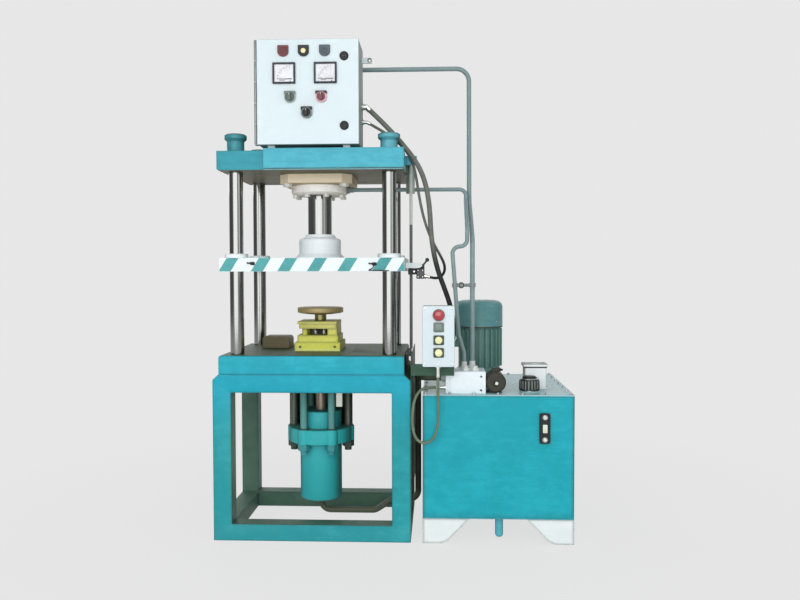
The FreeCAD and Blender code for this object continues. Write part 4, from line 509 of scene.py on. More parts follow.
def moulded(name, colour, rough=0.4, texture=0.08, coat=0.0, glow=0.0):
    """Moulded plastic with a fine spark-eroded texture and a little fading."""
    made = Finish(name)
    fade = made.noise(14.0, 3.0)
    tone = made.mix(made.ramp(fade, 0.3, 0.7), toned(colour, -0.08), toned(colour, 0.07))
    made.set(Base_Color=tone, Roughness=made.ramp(made.noise(220.0), 0.2, 0.8, rough * 0.85, rough * 1.15),
             Specular_IOR_Level=0.36, Coat_Weight=coat, Coat_Roughness=0.08)
    if glow:
        made.set(Emission_Color=linear(colour), Emission_Strength=glow)
    made.bump(made.noise(900.0, 2.0), texture, 0.0002)


PALE_ABOVE = 1.295
DARK_BELOW = 1.165


def rubber(name, colour, rough=0.6, low=None):
    """Soft sheath with a dusty bloom; low is its tone lower down, where it is darker."""
    made = Finish(name)
    bloom = made.ramp(made.noise(24.0, 5.0), 0.42, 0.7)
    tone = made.mix(bloom, linear(colour), toned(colour, 0.09))
    if low:
        lower_share = made.ramp(made.parts(made.place)["Z"], ORIGIN.z + PALE_ABOVE, ORIGIN.z + DARK_BELOW)
        tone = made.mix(lower_share, tone, linear(low))
    made.set(Base_Color=tone, Roughness=made.ramp(bloom, 0.0, 1.0, rough - 0.1, rough + 0.12),
             Specular_IOR_Level=0.3)
    made.bump(made.noise(600.0, 2.0), 0.1, 0.0002)


def clear_cover(name):
    """Thin clear cover over a dial or a sight glass."""
    made = Finish(name)
    smear = made.ramp(made.noise(30.0, 3.0), 0.3, 0.7)
    made.set(Base_Color=(0.96, 0.98, 0.98, 1.0), Roughness=made.ramp(smear, 0.0, 1.0, 0.03, 0.09),
             Alpha=made.ramp(smear, 0.0, 1.0, 0.04, 0.08))


# ---------------------------------------------------------------- values a user would change
def colour_value(name, description, default):
    """A colour as it is seen, red, green and blue."""
    return bpy.props.FloatVectorProperty(name=name, description=description, default=default,
                                         subtype="COLOR_GAMMA", size=3, min=0.0, max=1.0)


def length_value(name, description, default):
    """A length whose default is given in millimetres."""
    return bpy.props.FloatProperty(name=name, description=description, default=default * MM,
                                   min=0.0, subtype="DISTANCE", unit="LENGTH")


class PressColours(bpy.types.PropertyGroup):
    """The coats, mouldings and metals of the press."""

    teal: colour_value("Teal Enamel", "Front faces of the frame and the tank", (0.045, 0.67, 0.735))
    # Painted sheen: the crosshead's front is painted paler for the lamp's reflection on it.
    head_sheen_teal: colour_value("Crosshead Enamel", "The paler coat of the crosshead", (0.22, 0.665, 0.75))
    # Painted shade: the darker enamel tone painted on the sides, underside and rear of the frame.
    shade_teal: colour_value("Old Enamel", "The darker coats of the sides and the inside", (0.26, 0.41, 0.34))
    casting: colour_value("Casting Enamel", "The ejector cylinder", (0.21, 0.74, 0.76))
    guard: colour_value("Guard Enamel", "The sheet guard and the station's arm", (0.19, 0.34, 0.26))
    pale: colour_value("Powder Coat", "The panel and the button station", (0.865, 0.925, 0.945))
    white: colour_value("White Enamel", "The platen, hub and bushes", (0.93, 0.97, 0.985))
    cream: colour_value("Cream Enamel", "The mounting block of the cylinder", (0.94, 0.88, 0.76))
    gland: colour_value("Gland Enamel", "The gland flange and its bolts", (0.985, 0.98, 0.965))
    stripe: colour_value("Stripe Paint", "The slanted stripes on the platen", (0.27, 0.62, 0.63))
    yellow: colour_value("Die Enamel", "The die set", (0.86, 0.86, 0.36))
    motor: colour_value("Motor Enamel", "The motor and its terminal box", (0.40, 0.57, 0.54))
    pipe: colour_value("Pipe Enamel", "The steel pipes", (0.52, 0.61, 0.62))
    conduit: colour_value("Cable Sheath", "The two cables from the panel", (0.40, 0.415, 0.385))
    station_cable: colour_value("Station Cable", "The cable of the button station", (0.40, 0.46, 0.37))


class PressSizes(bpy.types.PropertyGroup):
    """Sizes of the fine pieces, most of them on the panel and the platen."""

    stripe_width: length_value("Stripe Width", "Width of one slanted stripe", 52.0)
    stripe_lean: length_value("Stripe Lean", "How far a stripe leans over its height", 35.0)
    coil_pitch: length_value("Coil Pitch", "Pitch of the coil inside the motor's cable", 5.6)
    bezel_side: length_value("Bezel Side", "Side of the shield bezels on the panel", 46.0)
    meter_frame: length_value("Meter Frame", "Width of the frame round a meter's dial", 8.0)
    floor_reach: length_value("Floor Reach", "Half the width of the floor", 14000.0)
    key_power: bpy.props.FloatProperty(name="Key Light", description="Power of the large front lamp",
                                       default=164.0, min=0.0, unit="POWER")


# ---------------------------------------------------------------- finishes of the press
NODE_FINISHES = {
    "base_frame": "frame_enamel", "bed_plate": "bed_enamel", "crosshead": "head_enamel",
    "cap_nuts": "nut_enamel", "cylinder_barrel": "cast_enamel", "ejector_cylinder": "cast_enamel",
    "tank_body": "tank_enamel", "tank_lid": "lid_enamel", "tank_legs": "leg_enamel",
    "side_guard": "guard_enamel", "limit_rod": "bracket_enamel",
    "columns": "column_chrome", "main_ram": "column_chrome", "ejector_ram": "ram_steel",
    "cylinder_flange": "cream_enamel", "gland_flange": "gland_enamel", "cylinder_bolts": "bolt_coat",
    "ram_hub": "hub_enamel", "moving_platen": "white_enamel", "guide_bushes": "white_enamel",
    "die_base": "yellow_enamel", "die_upper_shoe": "yellow_enamel", "die_pad": "worn_steel",
    "spacer_block": "dark_block", "panel_box": "powder_coat", "panel_door": "powder_coat",
    "pilot_lamps": "black_moulding", "panel_meters": "meter_case", "needle_left": "black_moulding",
    "needle_right": "black_moulding", "selector_left": "grey_moulding", "selector_right": "black_moulding",
    "selector_lower": "black_moulding", "door_lock_upper": "lock_black", "door_lock_lower": "lock_black",
    "control_gear": "grey_moulding", "cable_glands": "gland_nickel", "upper_pipe": "pipe_enamel",
    "rod_side_pipe": "pipe_enamel", "ejector_pipe": "dark_pipe", "pipe_fittings": "fitting_coat",
    "limit_switch": "switch_dark", "limit_lever": "switch_dark", "pendant_box": "powder_coat",
    "estop_button": "estop_red", "push_button_upper": "key_green", "push_button_middle": "key_yellow",
    "push_button_lower": "key_yellow", "level_gauge": "black_moulding", "filler_cap": "black_moulding",
    "return_filter": "filter_enamel", "bell_housing": "dark_pipe", "motor_body": "motor_enamel",
    "fan_cowl": "cowl_enamel", "motor_rotor": "fitting_steel", "valve_manifold": "manifold_zinc",
    "solenoid_valve": "coil_black", "motor_cable": "conduit_sheath", "switch_cable": "conduit_sheath",
    "pendant_cable": "station_cable",
}


def make_finishes(colours):
    """Every finish of the press, under the name that pieces ask for."""
    # The second colour given to enamel is the painted shade of faces turned from the front, looking down, or further
    # back.
    shade_tone = colours.shade_teal
    # The tank's front is darker towards its left and right ends and bluer towards its foot; the pale band along its
    # bottom edge is a painted highlight.
    enamel("tank_enamel", colours.teal, (0.08, 0.52, 0.55), rim=0.5,
           fades=(("X", 492.0, 473.0, (0.20, 0.58, 0.59)), ("X", 1094.0, 1110.0, (0.17, 0.52, 0.53)),
                  ("Z", 150.0, 108.0, (0.07, 0.61, 0.67)), ("Z", 112.0, 108.0, (0.36, 0.76, 0.82))))
    enamel("frame_enamel", (0.045, 0.67, 0.765), shade_tone, front=ORIGIN.y, rim=0.5,
           fades=(("Z", 690.0, 420.0, (0.12, 0.63, 0.665)), ("Z", 90.0, 50.0, (0.165, 0.635, 0.67))))
    enamel("bed_enamel", (0.045, 0.67, 0.755), (0.20, 0.28, 0.19), front=ORIGIN.y, rim=0.4)
    # Painted sheen and highlight: the paler crosshead teal stands for the lamp's reflection, and a pale band along
    # its bottom edge is a painted highlight; its left end is a darker teal.
    enamel("head_enamel", colours.head_sheen_teal, (0.33, 0.32, 0.22), streaks=0.9, under=True, rim=0.3,
           fades=(("Z", 1586.0, 1581.0, (0.62, 0.86, 0.90)), ("X", -192.0, -198.0, (0.06, 0.55, 0.615))))
    # Painted shade: the nuts at the ejector's sides are painted dark; the bolts above the bed are painted pale.
    enamel("bolt_coat", (0.22, 0.60, 0.62), None, rough=0.4, wear_and_edge_light=0.5,
           fades=(("X", -106.0, -112.0, (0.24, 0.30, 0.27)), ("X", 106.0, 112.0, (0.24, 0.30, 0.27)),
                  ("Z", 990.0, 1000.0, (0.88, 0.89, 0.85))))
    enamel("fitting_coat", (0.86, 0.88, 0.87), None, rough=0.3, streaks=0.2, wear_and_edge_light=0.3,
           fades=(("Z", 900.0, 960.0, (0.50, 0.55, 0.55)),))
    enamel("shroud_enamel", (0.25, 0.29, 0.19), (0.22, 0.26, 0.18), rough=0.6, streaks=0.3, wear_and_edge_light=0.2)
    # Painted highlight: the cap nuts on the right are painted paler for the light washing over them.
    enamel("nut_enamel", (0.22, 0.56, 0.60), (0.16, 0.40, 0.42), wear_and_edge_light=0.6, rim=0.7,
           fades=(("X", 0.0, 100.0, (0.36, 0.70, 0.76)),))
    enamel("cast_enamel", colours.casting, (0.17, 0.52, 0.50), rough=0.46, streaks=0.2, peel=0.4)
    enamel("lid_enamel", (0.62, 0.78, 0.80), None, rough=0.3, grime=0.5)
    enamel("leg_enamel", (0.93, 0.96, 0.96), None, rough=0.4, grime=0.1, rim=0.7)
    enamel("guard_enamel", colours.guard, lighter(colours.guard, -0.1), rough=0.4)
    # Painted shade: the switch bracket is painted dark olive for the shadow it hangs in; the rod's front is pale
    # above and grey below.
    enamel("bracket_enamel", (0.34, 0.40, 0.33), None, rough=0.4,
           fades=(("Y", 246.5, 245.5, (0.80, 0.84, 0.81)), ("X", 409.0, 408.0, (0.34, 0.40, 0.33)),
                  ("Z", 1364.0, 1358.0, (0.40, 0.42, 0.41))))
    enamel("cream_enamel", colours.cream, (0.76, 0.68, 0.52), wear_and_edge_light=0.25, grime=0.3)
    enamel("gland_enamel", colours.gland, (0.93, 0.90, 0.85), rough=0.36, wear_and_edge_light=0.2, grime=0.12)
    enamel("hub_enamel", (0.955, 0.985, 1.0), (0.90, 0.935, 0.955), rough=0.36, wear_and_edge_light=0.1, grime=0.08)
    enamel("stud_enamel", (0.38, 0.64, 0.63), (0.24, 0.38, 0.33), rough=0.5, streaks=0.2, wear_and_edge_light=0.4, peel=0.3)
    enamel("white_enamel", colours.white, (0.78, 0.84, 0.83), rough=0.36, wear_and_edge_light=0.1, grime=0.12)
    enamel("stripe_paint", colours.stripe, None, rough=0.42, streaks=1.0, wear_and_edge_light=0.0, grime=0.35)
    # The die set's yellow changes with height; the pale band along its bottom edge is a painted highlight.
    enamel("yellow_enamel", colours.yellow, (0.62, 0.62, 0.20), rough=0.36, wear_and_edge_light=0.3, grime=0.5, rim=0.4,
           fades=(("Z", 880.0, 896.0, (0.83, 0.81, 0.42)), ("Z", 836.0, 832.0, (0.88, 0.89, 0.35)),
                  ("Z", 812.0, 798.0, (0.93, 0.95, 0.55))))
    enamel("motor_enamel", colours.motor, None, rough=0.42, streaks=0.2, peel=0.3, grime=0.4)
    enamel("cowl_enamel", (0.34, 0.56, 0.57), None, rough=0.36, grime=0.3)
    enamel("weld", lighter(colours.teal, -0.22), lighter(shade_tone, -0.2), rough=0.5, streaks=0.0, wear_and_edge_light=0.5, peel=0.3)
    enamel("pipe_enamel", colours.pipe, None, rough=0.36, streaks=0.3, wear_and_edge_light=0.2)
    enamel("dark_pipe", (0.34, 0.37, 0.31), None, rough=0.5, streaks=0.2, wear_and_edge_light=0.3)
    enamel("powder_coat", colours.pale, (0.55, 0.59, 0.56), rough=0.44, streaks=0.15, wear_and_edge_light=0.15, peel=0.25,
           grime=0.05)
    enamel("filter_enamel", (0.97, 0.985, 0.99), (0.74, 0.76, 0.76), rough=0.4, wear_and_edge_light=0.3, grime=0.2)
    ground_metal("column_chrome", (0.54, 0.55, 0.54), 0.12, (1.0, 1.0, 0.02), grain=0.03, stain=0.05)
    ground_metal("gland_nickel", (0.86, 0.87, 0.84), 0.24, grain=0.05)
    ground_metal("fitting_steel", (0.80, 0.82, 0.82), 0.28, grain=0.08)
    ground_metal("ram_steel", (0.66, 0.60, 0.54), 0.34, (1.0, 1.0, 0.05), grain=0.1, stain=0.3, metallic=0.6)
    ground_metal("pale_steel", (0.85, 0.86, 0.82), 0.38, grain=0.1, stain=0.2, metallic=0.5)
    ground_metal("stud_steel", (0.38, 0.42, 0.37), 0.45, grain=0.2, stain=0.3, metallic=0.5)
    ground_metal("joint_dark", (0.16, 0.19, 0.18), 0.45, grain=0.1, metallic=0.4)
    ground_metal("hinge_steel", (0.52, 0.55, 0.55), 0.4, grain=0.1, metallic=0.6)
    ground_metal("bright_screw", (0.78, 0.79, 0.80), 0.26, grain=0.08)
    ground_metal("worn_steel", (0.62, 0.55, 0.36), 0.5, (1.0, 1.0, 0.2), grain=0.25, stain=0.35, metallic=0.35)
    ground_metal("neck_steel", (0.50, 0.48, 0.30), 0.3, (1.0, 1.0, 0.2), grain=0.1, stain=0.3)
    ground_metal("dark_block", (0.36, 0.335, 0.22), 0.55, grain=0.3, stain=0.4, metallic=0.4)
    # Dark finish for recesses; in the die gap and in the plug's bore it is painted shade.
    ground_metal("dark_cavity", (0.20, 0.20, 0.10), 0.6, grain=0.2, metallic=0.3)
    ground_metal("manifold_zinc", (0.90, 0.945, 0.965), 0.4, (1.0, 0.05, 1.0), grain=0.12, metallic=0.2)
    moulded("black_moulding", (0.03, 0.034, 0.038), 0.42)
    ground_metal("plate_zinc", (0.66, 0.69, 0.68), 0.42, grain=0.1, stain=0.25, metallic=0.5)
    ground_metal("rail_zinc", (0.50, 0.51, 0.49), 0.4, (0.05, 1.0, 1.0), grain=0.1, metallic=0.7)
    moulded("wire_blue", (0.12, 0.22, 0.45), 0.4)
    moulded("gauge_black", (0.035, 0.04, 0.045), 0.32, coat=0.1)
    moulded("sight_oil", (0.90, 0.89, 0.78), 0.2, coat=0.4)
    moulded("bezel_grey", (0.45, 0.50, 0.47), 0.36)
    moulded("lock_black", (0.012, 0.02, 0.03), 0.5)
    moulded("meter_case", (0.07, 0.08, 0.13), 0.36)
    moulded("dial_white", (0.95, 0.955, 0.98), 0.5, texture=0.02)
    moulded("print_grey", (0.20, 0.20, 0.24), 0.6, texture=0.02)
    moulded("grey_moulding", (0.55, 0.61, 0.59), 0.4)
    moulded("slate_moulding", (0.22, 0.27, 0.32), 0.34, coat=0.1)
    moulded("lamp_red", (0.42, 0.15, 0.17), 0.34, coat=0.1)
    moulded("lamp_cream", (0.95, 0.90, 0.68), 0.26, coat=0.4, glow=0.05)
    moulded("selector_red", (0.36, 0.10, 0.13), 0.3, coat=0.2)
    moulded("selector_pink", (0.92, 0.66, 0.70), 0.34)
    moulded("selector_grey", (0.36, 0.41, 0.40), 0.4)
    moulded("estop_red", (0.66, 0.10, 0.12), 0.16, texture=0.02, coat=1.0)
    moulded("dark_red", (0.40, 0.08, 0.09), 0.34, coat=0.2)
    moulded("key_green", (0.42, 0.50, 0.46), 0.32, coat=0.3)
    moulded("key_yellow", (0.93, 0.93, 0.70), 0.26, coat=0.4, glow=0.04)
    moulded("bezel_olive", (0.24, 0.26, 0.19), 0.36)
    moulded("switch_plate", (0.30, 0.32, 0.32), 0.4)
    moulded("switch_dark", (0.06, 0.065, 0.07), 0.44)
    moulded("coil_black", (0.16, 0.155, 0.12), 0.46)
    moulded("sight_white", (0.90, 0.93, 0.90), 0.24, coat=0.5)
    rubber("conduit_sheath", colours.conduit, 0.68, low=(0.14, 0.15, 0.15))
    rubber("station_cable", colours.station_cable, 0.5)
    rubber("seal_rubber", (0.11, 0.11, 0.11))
    clear_cover("clear_cover")


class PRESS_OT_finishes(bpy.types.Operator):
    """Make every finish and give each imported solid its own"""

    bl_idname = "press.finishes"
    bl_label = "Finishes"

    def execute(self, context):
        make_finishes(context.scene.press_colours)
        for node, finish in NODE_FINISHES.items():
            solid = frame["nodes"][node]
            for place in solid.material_slots:
                place.material = bpy.data.materials[finish]
        return {"FINISHED"}


# ---------------------------------------------------------------- stage
CAMERA_AT = Vector((0.1895, -3.7195, 1.154))
CAMERA_TURN = (math.radians(87.96), 0.0019, math.radians(2.58))
CAMERA_LENS = 36.66
BACKGROUND = 0.80
FLOOR_GLOW = 0.88
AMBIENT = 0.42
SIDE_WALL = 0.25
WHITE = (1.0, 1.0, 1.0, 1.0)


class PRESS_OT_stage(bpy.types.Operator):
    """Set up the camera, the lamps, the pale floor and the pale surroundings"""

    bl_idname = "press.stage"
    bl_label = "Stage"

    def execute(self, context):
        self.camera(context.scene)
        self.lamp("key", (-0.6, -4.9, 2.35), 5.8, 4.0, context.scene.press_sizes.key_power)
        self.lamp("fill", (3.6, -2.6, 2.4), 2.0, 2.6, 26.0)
        self.lamp("rim", (-2.6, 3.2, 2.8), 2.4, 2.0, 30.0)
        self.surroundings(context.scene)
        self.floor(context.scene.press_sizes.floor_reach)
        context.scene.view_settings.view_transform = "Standard"
        return {"FINISHED"}

    def camera(self, scene):
        lens = bpy.data.cameras.new("camera")
        lens.lens = CAMERA_LENS
        lens.sensor_width = 36.0
        lens.sensor_fit = "HORIZONTAL"
        lens.clip_end = 60.0
        camera = bpy.data.objects.new("camera", lens)
        camera.location = CAMERA_AT
        camera.rotation_euler = CAMERA_TURN
        scene.collection.objects.link(camera)
        scene.camera = camera

    def lamp(self, name, at, width, height, power):
        light = bpy.data.lights.new(name, "AREA")
        light.shape = "RECTANGLE"
        light.size = width
        light.size_y = height
        light.energy = power
        lamp = bpy.data.objects.new(name, light)
        lamp.location = at
        lamp.rotation_euler = (Vector((0.0, 0.0, 1.0)) - Vector(at)).to_track_quat("-Z", "Y").to_euler()
        bpy.context.scene.collection.objects.link(lamp)

    def surroundings(self, scene):
        world = bpy.data.worlds.new("surroundings")
        world.use_nodes = True
        tree = Nodes(world.node_tree)
        rays = tree.add("ShaderNodeLightPath").outputs
        seen = tree.maths("MAXIMUM", rays["Is Camera Ray"], rays["Is Glossy Ray"])
        shown = tree.maths("MAXIMUM", seen, rays["Is Transmission Ray"])
        walls = self.walls(tree, rays)
        level = tree.add("ShaderNodeMapRange", {"Value": shown, "To Min": AMBIENT, "To Max": walls})
        light = tree.add("ShaderNodeBackground", {"Color": WHITE, "Strength": level.outputs[0]})
        tree.add("ShaderNodeOutputWorld", {0: light.outputs[0]})
        scene.world = world

    def walls(self, tree, rays):
        """The pale surroundings, but with dark side walls where metal mirrors them."""
        way = tree.add("ShaderNodeSeparateXYZ", {0: tree.add("ShaderNodeTexCoord").outputs["Generated"]})
        aside = tree.add("ShaderNodeMath", {0: way.outputs["X"]}, operation="ABSOLUTE")
        spans = dict(enumerate((aside.outputs[0], 0.60, 0.76, BACKGROUND * 1.2, BACKGROUND * SIDE_WALL)))
        wall = tree.add("ShaderNodeMapRange", spans, interpolation_type="SMOOTHSTEP")
        choice = tree.add("ShaderNodeMix", {0: rays["Is Glossy Ray"], 2: BACKGROUND, 3: wall.outputs[0]})
        return choice.outputs[0]

    def floor(self, reach):
        """A pale floor that keeps the shadow near the press and fades into the background."""
        made = Finish("floor_paint")
        far = made.node("VectorMath", {0: made.place}, operation="LENGTH")
        fade = made.ramp(far.outputs["Value"], 0.4, 3.2, FLOOR_GLOW, 1.0)
        mottle = made.mix(made.noise(3.0, 3.0), (0.80, 0.80, 0.80, 1.0), (0.84, 0.84, 0.84, 1.0))
        made.set(Base_Color=mottle, Roughness=0.75)
        glow = made.node("Emission", {"Color": WHITE, "Strength": BACKGROUND})
        rays = made.node("LightPath").outputs
        seen = made.maths("MAXIMUM", rays["Is Camera Ray"], rays["Is Glossy Ray"])
        share = made.maths("MULTIPLY", fade, seen)
        blend = made.node("MixShader", {0: share, 1: made.shader.outputs[0], 2: glow.outputs[0]})
        made.join(blend.outputs[0], made.out.inputs[0])
        data = bpy.data.meshes.new("floor")
        corners = [(x, y, 0.0) for x, y in rectangle(-reach, -reach, reach, reach)]
        data.from_pydata(corners, [], [(0, 1, 2, 3)])
        data.materials.append(made.material)
        floor = bpy.data.objects.new("floor", data)
        bpy.context.scene.collection.objects.link(floor)


# ---------------------------------------------------------------- cables
MOTOR_ROUTE = [(0.244, 0.135, 1.850), (0.287, 0.135, 1.809), (0.336, 0.135, 1.759), (0.384, 0.135, 1.705),
               (0.431, 0.135, 1.646), (0.465, 0.135, 1.589), (0.486, 0.135, 1.527), (0.498, 0.135, 1.463),
               (0.504, 0.135, 1.400), (0.507, 0.135, 1.338), (0.513, 0.135, 1.275), (0.524, 0.135, 1.212),
               (0.540, 0.136, 1.150), (0.561, 0.138, 1.092), (0.582, 0.141, 1.036), (0.597, 0.146, 0.983),
               (0.605, 0.156, 0.932), (0.606, 0.181, 0.890), (0.606, 0.218, 0.861), (0.606, 0.262, 0.846),
               (0.606, 0.308, 0.846)]
SWITCH_ROUTE = [(0.243, 0.156, 1.795), (0.292, 0.156, 1.767), (0.343, 0.156, 1.733), (0.391, 0.157, 1.690),
                (0.427, 0.158, 1.634), (0.443, 0.158, 1.568), (0.453, 0.158, 1.500), (0.465, 0.157, 1.433),
                (0.481, 0.157, 1.368), (0.503, 0.158, 1.307), (0.530, 0.163, 1.254), (0.553, 0.173, 1.214),
                (0.567, 0.187, 1.183), (0.569, 0.202, 1.157), (0.560, 0.216, 1.136), (0.543, 0.228, 1.124),
                (0.523, 0.236, 1.121), (0.503, 0.240, 1.126)]
PENDANT_ROUTE = [(0.538, -0.038, 0.712), (0.538, -0.038, 0.662), (0.539, -0.038, 0.608), (0.539, -0.038, 0.556),
                 (0.537, -0.038, 0.511), (0.529, -0.038, 0.476), (0.513, -0.038, 0.448), (0.486, -0.037, 0.434),
                 (0.457, -0.035, 0.441), (0.439, -0.032, 0.466), (0.431, -0.027, 0.508), (0.431, -0.020, 0.556),
                 (0.436, -0.009, 0.599), (0.448, 0.008, 0.632), (0.468, 0.028, 0.652), (0.496, 0.048, 0.657),
                 (0.530, 0.048, 0.657)]


def route_line(route):
    """A smooth line through a cable's route, as points in the frame, closely spaced."""
    curve = bpy.data.curves.new("route", "CURVE")
    curve.dimensions = "3D"
    curve.resolution_u = 24
    spline = curve.splines.new("NURBS")
    spline.points.add(len(route) - 1)
    for point, place in zip(spline.points, route):
        point.co = (*(ORIGIN + Vector(place)), 1.0)
    spline.order_u = 3
    spline.use_endpoint_u = True
    line = evaluated(bpy.data.objects.new("route", curve))
    points = [vert.co.copy() for vert in line.vertices]
    bpy.data.curves.remove(curve)
    bpy.data.meshes.remove(line)
    return points


def spaced(points, step):
    """The same line with its points evenly spaced, about one step apart, and its length."""
    lengths = [0.0]
    for a, b in zip(points, points[1:]):
        lengths.append(lengths[-1] + (b - a).length)
    count = max(2, round(lengths[-1] / step))
    made = []
    k = 0
    for i in range(count + 1):
        want = lengths[-1] * i / count
        while k < len(points) - 2 and lengths[k + 1] < want:
            k += 1
        share = (want - lengths[k]) / (lengths[k + 1] - lengths[k])
        made.append(points[k].lerp(points[k + 1], share))
    return made, lengths[-1]


class PRESS_OT_cables(bpy.types.Operator):
    """The two smooth cables from the panel and the looped cable of the button station"""

    bl_idname = "press.cables"
    bl_label = "Cables"

    def execute(self, context):
        pitch = context.scene.press_sizes.coil_pitch
        self.sheath("motor_conduit", MOTOR_ROUTE, "motor_cable", 0.022, pitch, "conduit_sheath", "medium")
        self.sheath("switch_conduit", SWITCH_ROUTE, "switch_cable", 0.012, pitch * 0.62, "conduit_sheath", "limp")
        self.sheath("station_lead", PENDANT_ROUTE, "pendant_cable", 0.012, pitch * 0.55, "station_cable", "limp")
        return {"FINISHED"}

    def sheath(self, name, route, node, diameter, pitch, finish, stiffness):
        """A smooth sheathed tube along its route, with the faint waist of its inner coil."""
        line, length = spaced(route_line(route), pitch / 4)
        crest = diameter / 2
        valley = crest - diameter * 0.012
        flank = (crest + valley) / 2 + 0.0002
        wave = (valley, flank, crest, flank)
        radii = [wave[i % 4] for i in range(len(line))]
        shape = Shape()
        shape.tube([(p - ORIGIN) / MM for p in line], [r / MM for r in radii], finish, segments=14)
        lead = shape.piece(name, "press", "conduit", (node,), angle=70.0)


# ---------------------------------------------------------------- moving platen
PLATEN_LOW, PLATEN_HIGH = node_box("moving_platen")
PLATEN_HALF = 396.0
STRIPE_FEET = (-399.0, -260.0, -146.0, -19.0, 111.0, 258.0, 366.0)


def cut_off(outline, limit, way):
    """The part of an outline whose first coordinate, times way, stays above a limit."""
    made = []
    for (a, b), (c, d) in zip(outline, outline[1:] + outline[:1]):
        inside, next_inside = a * way >= limit, c * way >= limit
        if inside:
            made.append((a, b))
        if inside != next_inside:
            share = (limit - a * way) / ((c - a) * way)
            made.append((limit * way, b + (d - b) * share))
    return made


class PRESS_OT_platen_stripes(bpy.types.Operator):
    """Slanted stripes along the platen's front edge, the outer ones cut off at its ends"""

    bl_idname = "press.platen_stripes"
    bl_label = "Platen Stripes"

    def execute(self, context):
        sizes = context.scene.press_sizes
        width, lean = sizes.stripe_width / MM, sizes.stripe_lean / MM
        low, high = PLATEN_LOW.z + 0.8, PLATEN_HIGH.z - 0.8
        face = PLATEN_LOW.y
        left, right = 1.0 - PLATEN_HALF, PLATEN_HALF - 1.0
        for i, foot in enumerate(STRIPE_FEET):
            outline = [(foot, low), (foot + width, low), (foot + width + lean, high), (foot + lean, high)]
            outline = cut_off(cut_off(outline, left, 1), -right, -1)
            stripe = Shape().prism(outline, "y", face - 0.35, face + 0.1, "stripe_paint")
            stripe.piece(f"platen_stripe_{i + 1}", "ram", "teal_paint")
        return {"FINISHED"}


class PRESS_OT_grease_points(bpy.types.Operator):
    """Black grease nipples on the platen's front edge, and the line under the right one"""

    bl_idname = "press.grease_points"
    bl_label = "Grease Points"

    def execute(self, context):
        front = PLATEN_LOW.y
        for name, x, z in (("grease_nipple_left", -278.0, 1187.0), ("grease_nipple_right", 243.0, 1184.0)):
            path = [(x, front - 5.0, z + 3.0), (x + 4, front - 5.2, z + 2.4), (x + 7, front - 5.4, z + 2.0),
                    (x + 9, front - 5.4, z + 1.8), (x + 20, front - 5.0, z + 0.6), (x + 24, front - 4.0, z + 0.2),
                    (x + 32, front - 2.0, z)]
            shape = Shape().tube(path, [1.2, 3.0, 3.4, 2.2, 4.6, 5.2, 4.8], "black_moulding", segments=20)
            shape.block((x + 16, front - 2.0, z - 7), (x + 36, front, z + 7), "black_moulding", radius=4, axis="y")
            shape.piece(name, "ram", "black_plastic", bevel=0.5)
        low = PLATEN_LOW.z
        line = [(268.0, front - 2.4, 1178.0), (262.0, front - 2.6, 1166.0), (240.0, front - 2.6, low + 3.0),
                (262.0, front - 2.6, low + 5.0), (300.0, front - 2.6, low + 3.4), (330.0, front - 2.4, low + 2.4)]
        path = softened_path(line, 12.0)
        shape = Shape().tube(path, [2.0] * len(path), "black_moulding", segments=14)
        shape.piece("grease_line", "ram", "black_plastic")
        return {"FINISHED"}


# ---------------------------------------------------------------- control panel
def shield(side, grow=0.0):
    """The outline of a shield about its middle: flat top, straight sides and a round foot."""
    half = side / 2 + grow
    top = [(half, -4.0), (half, half), (-half, half), (-half, -4.0)]
    head = softened(top, 3.0, closed=False)
    angles = [math.pi + math.pi * i / 14 for i in range(1, 14)]
    return head + [(half * math.cos(angle), -4.0 + half * 0.85 * math.sin(angle)) for angle in angles]


def moved(outline, x, z):
    return [(a + x, b + z) for a, b in outline]


class PRESS_OT_pilot_lamps(bpy.types.Operator):
    """Three shield-shaped pilot lamps: red with ribs, cream in black, slate with a dome"""

    bl_idname = "press.pilot_lamps"
    bl_label = "Pilot Lamps"

    def execute(self, context):
        side = context.scene.press_sizes.bezel_side / MM
        low, high = node_box("pilot_lamps")
        z = high.z - side / 2
        front = low.y
        middle = (low.x + high.x) / 2
        reach = (high.x - low.x - side) / 2
        places = ((middle - reach, "lamp_red"), (-23.0, "black_moulding"), (middle + reach, "slate_moulding"))
        shape = Shape()
        for x, finish in places:
            shape.prism(moved(shield(side), x, z), "y", front + 4.0, 0.0, finish)
            shape.prism(moved(shield(side, -2.5), x, z), "y", front + 2.2, front + 4.0, finish)
        x, finish = places[0]
        for i in range(7):
            across = x - 15.0 + 5.0 * i
            drop = 17.0 - (abs(i - 3) * 1.6) ** 1.25
            shape.block((across - 1.9, front + 0.4, z - drop), (across + 1.9, front + 2.4, z + 18.0), finish)
        x = places[1][0]
        shape.lathe([(0, 0.2), (5.5, 0.5), (9.5, 1.6), (11.6, 3.0), (12.0, 4.6)], (x, front, z - 1.0),
                    "lamp_cream", axis="y", segments=40)
        shape.lathe([(12.0, 4.4), (12.2, 1.6), (13.4, 1.2), (14.6, 1.8), (14.8, 4.4)], (x, front, z - 1.0),
                    "black_moulding", axis="y", segments=40)
        x, finish = places[2]
        shape.lathe([(0, 0.2), (7.0, 0.6), (12.0, 1.6), (14.6, 3.0)], (x, front, z - 3.0), finish, axis="y",
                    segments=40)
        shape.piece("pilot_lenses", "door", "red_plastic", ("pilot_lamps",), bevel=0.7)
        return {"FINISHED"}


